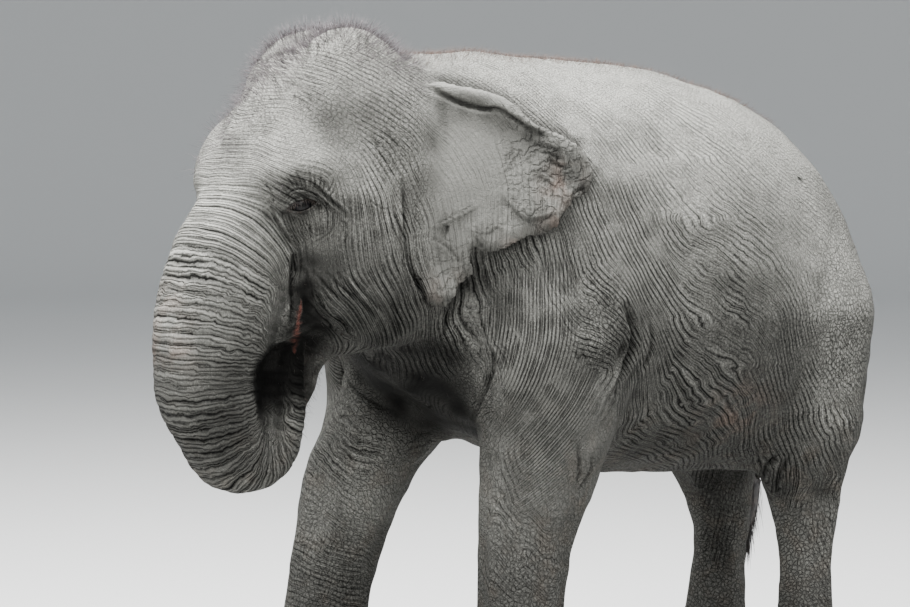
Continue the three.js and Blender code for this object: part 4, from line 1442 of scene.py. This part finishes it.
def grow_hair(name, roots, ways, lengths, radii, droop, rng, steps=2):
    """Tapered three-sided hairs, each bent from its way by the droop."""
    count = len(roots)
    ways = unit(ways)
    side = unit(np.cross(ways, rng.normal(size=(count, 3))))
    other = np.cross(ways, side)
    lengths, radii = lengths[:, None], radii[:, None]
    rings, patch = [], []
    for k in range(steps):
        t = k / steps
        centre = roots + lengths * (ways * (t - ROOTED) + droop * t**2)
        for i in range(3):
            turn = i * 2 * math.pi / 3
            rings.append(centre + radii * (1 - TAPER * t) * (side * math.cos(turn) + other * math.sin(turn)))
            patch.append((i / 2 - 0.5, t - 0.5))
    rings.append(roots + lengths * (ways + droop))
    patch.append((0, 0.5))
    size = len(rings)
    verts = np.stack(rings, 1).reshape(-1, 3)
    shape = []
    for k in range(steps - 1):
        shape += [(3 * k + i, 3 * k + (i + 1) % 3, 3 * k + 3 + (i + 1) % 3, 3 * k + 3 + i) for i in range(3)]
    last = 3 * (steps - 1)
    shape += [(last + i, last + (i + 1) % 3, size - 1) for i in range(3)]
    faces = [tuple(size * hair + corner for corner in face) for hair in range(count) for face in shape]
    mesh = bpy.data.meshes.new(name)
    mesh.from_pydata(verts.tolist(), [], faces)
    bake_map(mesh, np.repeat(roots, size, axis=0), np.tile(np.array(patch), (count, 1)))
    return new_object(name, mesh)


def hair_material(name, dark, light):
    g = Nodes(name)
    colour = g.mix(dark, light, g.ramp(g.noise(g.place(), 35.0, 2.0), 0.35, 0.65))
    g.put(g.shader.inputs["Base Color"], colour)
    g.shader.inputs["Roughness"].default_value = 0.5
    return g.material


def finish_piece(thing, material, slot, *nodes):
    """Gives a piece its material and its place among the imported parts."""
    thing.data.materials.clear()
    thing.data.materials.append(material)
    only(thing)
    bpy.ops.object.shade_smooth()
    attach(thing, "root")
    if nodes:
        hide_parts(*nodes)


# How thickly each kind of hair stands at each place, given the place and its normal.


def crown_share(co, n):
    x, y, z = co.T
    crown = step(z, 2.12, 2.40) * step(y, -0.62, -0.74) * (0.25 + 0.75 * step(n[:, 2], 0.35, 0.8))
    brow = 0.16 * step(z, 1.92, 2.12) * step(y, -0.72, -0.85) * (1 - step(np.abs(x), 0.16, 0.30))
    return (crown + brow) * (1 - ear_share(co))


def spine_share(co, n):
    x, y, z = co.T
    return step(np.abs(x), 0.20, 0.03) * step(z, 1.7, 2.0) * step(y, -0.72, -0.6) * step(n[:, 2], 0.3, 0.8)


def chin_share(co, n):
    x, y, z = co.T
    level = step(z, 1.52, 1.42) * step(z, 1.1, 1.2)
    return level * step(y, -1.05, -1.00) * step(y, -0.82, -0.9) * (np.abs(x) < 0.13)


def body_share(co, n):
    return (0.25 + step(co[:, 2], 1.2, 2.0)) * step(co[:, 2], 0.15, 0.5) * (1 - ear_share(co))


def add_hair(hide):
    """All the hair, in one order of random draws."""
    rng = np.random.default_rng(HAIR_SEED)
    bristle = hair_material("bristle", (0.012, 0.009, 0.008, 1), (0.055, 0.04, 0.032, 1))
    grizzled = hair_material("grizzled_hair", (0.030, 0.025, 0.027, 1), (0.13, 0.11, 0.115, 1))
    rust = hair_material("rust_hair", (0.045, 0.030, 0.024, 1), (0.14, 0.085, 0.062, 1))
    # Name, where it stands, number, shortest and longest, radius, how far it stands up, material.
    kinds = (
        ("crown_hair", crown_share, 6000, (0.022, 0.068), 0.00062, 0.80, grizzled),
        ("chin_hair", chin_share, 500, (0.015, 0.038), 0.00045, 0.5, bristle),
        ("spine_hair", spine_share, 8000, (0.012, 0.034), 0.00040, 0.60, rust),
        ("body_hair", body_share, 6000, (0.007, 0.016), 0.00035, 0.22, bristle),
    )
    for name, share, count, (short, long), radius, lift, material in kinds:
        roots, n = scatter(hide, share, count, rng)
        lie = np.tile((0, 0.35, -1.0), (count, 1)) + 0.45 * rng.normal(size=(count, 3))
        lie -= n * (lie * n).sum(1)[:, None]
        ways = lift * n + (1 - lift) * unit(lie) + 0.12 * rng.normal(size=(count, 3))
        lengths = short + (long - short) * rng.random(count) ** 1.5
        droop = 0.12 * rng.normal(size=(count, 3)) + (0, 0, -0.08)
        hair = grow_hair(name, roots, ways, lengths, np.full(count, radius), droop, rng)
        finish_piece(hair, material, "tail_hair")
    add_lashes(rng, bristle)
    add_tuft(rng)


def add_lashes(rng, material):
    """Lashes along both edges of the lids."""
    roots, ways, lengths = [], [], []
    for u in np.linspace(-0.92, 0.92, LASHES):
        for lower in (False, True):
            t = 1 - u * u
            v = -SLIT_BOTTOM * t**0.9 if lower else SLIT_TOP * t**0.75
            h = math.sqrt(max((EYE_RADIUS + LID) ** 2 - (u * SLIT) ** 2 * 0.35 - v * v, 0)) - 0.0015
            roots.append(EYE_PLACE + h * EYE_OUT + u * SLIT * EYE_ALONG + v * EYE_UP)
            down = 0.35 if lower else 0.75
            ways.append(EYE_OUT * 0.75 + EYE_UP * -down + EYE_ALONG * (0.55 * u - 0.1))
            lengths.append(0.010 if lower else 0.024)
    roots, ways, lengths = np.array(roots), np.array(ways), np.array(lengths)
    count = len(roots)
    ways = ways + 0.13 * rng.normal(size=(count, 3))
    lengths = lengths * (0.7 + 0.5 * rng.random(count))
    for side, name in ((1, "lashes_left"), (-1, "lashes_right")):
        lashes = grow_hair(
            name, roots * (side, 1, 1), ways * (side, 1, 1), lengths, np.full(count, 0.0005),
            np.tile((0, 0, -0.15), (count, 1)), rng, steps=3,
        )
        finish_piece(lashes, material, "tail_hair")


def add_tuft(rng):
    """The brush at the end of the tail: stiff hairs in two rows, before and behind its core."""
    core = solid_copy("tail_tuft", -0.004)
    co = places(core.data)
    top, tip = co[co[:, 2].argmax()], co[co[:, 2].argmin()]
    bake_map(core.data, co, np.zeros((len(co), 2)))
    axis = tip - top
    count = TUFT_HAIRS
    t = rng.random(count)
    row = np.where(rng.random(count) < 0.5, -1.0, 1.0)
    roots = top + (t * 1.02 - 0.12)[:, None] * axis + 0.006 * rng.normal(size=(count, 3))
    down = axis / np.linalg.norm(axis)
    spread = np.c_[0.18 * rng.normal(size=count), 0.30 * row * (0.4 + rng.random(count)), np.zeros(count)]
    lengths = (0.10 + 0.13 * rng.random(count)) * (1 - 0.35 * t)
    tuft = grow_hair(
        "tail_brush", roots, down + spread, lengths, np.full(count, 0.0015), -0.35 * spread, rng, steps=4,
    )
    tuft = join(tuft, core)
    finish_piece(tuft, hair_material("tail_hair", (0.006, 0.005, 0.005, 1), (0.03, 0.022, 0.018, 1)),
                 "tail_hair", "tail_tuft")


def nail_material():
    g = Nodes("nail")
    x, y, z = g.part(g.place())
    streak = g.noise(g.vector(x * 3.0, y * 3.0, z * 0.6), 45.0, 3.0)
    colour = g.mix((0.11, 0.088, 0.066, 1), (0.22, 0.18, 0.135, 1), g.ramp(streak, 0.3, 0.7))
    wear_and_highlight = g.ramp(g.noise(g.place(), 30.0, 3.0), 0.5, 0.7)
    g.put(g.shader.inputs["Base Color"], g.mix(colour, (0.07, 0.058, 0.047, 1), wear_and_highlight * 0.6))
    g.shader.inputs["Roughness"].default_value = 0.55
    g.put(g.shader.inputs["Normal"], g.bump(streak * 0.0012))
    return g.material


def add_nails():
    material = nail_material()
    for foot in sorted({name.split("_nail_")[0] for name in NODES if "_nail_" in name}):
        names = sorted(name for name in NODES if name.startswith(foot + "_nail_"))
        copies = []
        for name in names:
            nail = solid_copy(name)
            co = places(nail.data)
            middle = co.mean(0)
            apply_modifier(nail, "SUBSURF", levels=2)
            set_places(nail.data, middle + 1.10 * (places(nail.data) - middle))
            copies.append(nail)
        nails = join(*copies)
        nails.name = foot + "_nails"
        finish_piece(nails, material, "nail", *names)


# Weight of the thinning by distance from the nearer eye: weight, from, to.
THINNING = ((0.0, -1, 0.055), (0.5, 0.055, 0.3), (1.0, 0.3, 99))


def thin_out(hide, eyes):
    """Brings the hide down to its number of triangles, leaving it finest round the eyes."""
    co = places(hide.data)
    gap = np.minimum(*[np.linalg.norm(co - eye, axis=1) for eye in eyes])
    group = hide.vertex_groups.new(name="thin")
    for weight, low, high in THINNING:
        chosen = np.flatnonzero((gap > low) & (gap <= high))
        group.add(chosen.tolist(), weight, "REPLACE")
    faces = sum(len(p.vertices) - 2 for p in hide.data.polygons)
    settings = dict(vertex_group="thin", use_collapse_triangulate=True)
    apply_modifier(hide, "DECIMATE", ratio=HIDE_FACES / faces, **settings)
    hide.vertex_groups.clear()


def lip_lining(co, surface):
    """The strips of red lining along the lower lip, 0 to 1."""
    value = np.zeros(len(co))
    strip = surface.path(INNER_LIP)
    for line in (strip, surface.twin(strip)):
        close, gap = path_gap(co, line, 0.04)
        value[close] = np.maximum(value[close], step(gap, INNER_LIP_WIDTH, 0.6 * INNER_LIP_WIDTH))
    return value


def mark(mesh, surface, lie, paths):
    """Stores on the hide's vertices all that its material reads."""
    co = places(mesh)
    relaxer = Relaxer(mesh)
    phase, depth, net, trunk = wrinkle_phase(mesh, relaxer, lie)
    store(mesh, "wrinkles", phase, depth, net)
    store(mesh, "form", trunk, ear_share(co), ear_crinkle(co))
    # The folds' share carries relief and painted shade; the pale places are in part painted light.
    store(mesh, "fold_shade_and_tint", furrows(co, paths), patches(co, surface, PALE_AND_LIT), patches(co, surface, PINK))
    n = normals(mesh)
    lining = lip_lining(co, surface)
    # Painted shade: the shade spots, near-black in the mouth's hollow and a painted shadow on the body behind
    # the ears' free edges, less on the lip's red lining.
    cave = relaxer.even(mouth_cave(co, n), 4)
    dark = np.maximum(patches(co, surface, PAINTED_SHADE), 0.98 * step(cave, 0.05, 0.85))
    dark = np.maximum(dark, 0.78 * ear_shadow(co)) * (1 - 0.75 * lining)
    # Painted light on upward faces (the normal's height) and painted shade in hollows.
    store(mesh, "shade", dark, n[:, 2], hollows(mesh, relaxer))
    # The lighter places: in part worn skin, in part painted light.
    store(mesh, "light", patches(co, surface, WORN_AND_LIT), lining, patches(co, surface, STRAIGHT))


def build_hide():
    """The one skin over all the flesh, from the welded solids to its material."""
    hide = with_ears(body_form())
    hide.name = "hide"
    hide.data.materials.clear()
    shape_mouth(hide)
    swell(hide, Surface(hide))
    surface = Surface(hide)
    lie = lie_points(surface)
    paths = fold_paths(surface)
    undulate(hide, ear_share(places(hide.data)))
    eyes = [(EYE_PLACE + 0.02 * EYE_OUT) * (side, 1, 1) for side in (1, -1)]
    refine(hide, [np.array(CHEEK) * (side, 1, 1) for side in (1, -1)], CHEEK_FINE)
    press_folds(hide, paths)
    refine(hide, eyes, EYE_FINE)
    co = places(hide.data)
    eye_zone = np.maximum(near(co, eyes[0], 0.06), near(co, eyes[1], 0.06))
    Relaxer(hide.data).relax(3, eye_zone)
    open_eyes(hide)
    thin_out(hide, eyes)
    co = places(hide.data)
    co[:, 2] = np.maximum(co[:, 2], 0)
    set_places(hide.data, co)
    mark(hide.data, surface, lie, paths)
    finish_piece(hide, hide_material(), "skin", *flesh_names(), "ear_left", "ear_right")
    return hide


add_camera()
hide = build_hide()
add_eyes()
add_nails()
add_hair(hide)
add_stage()
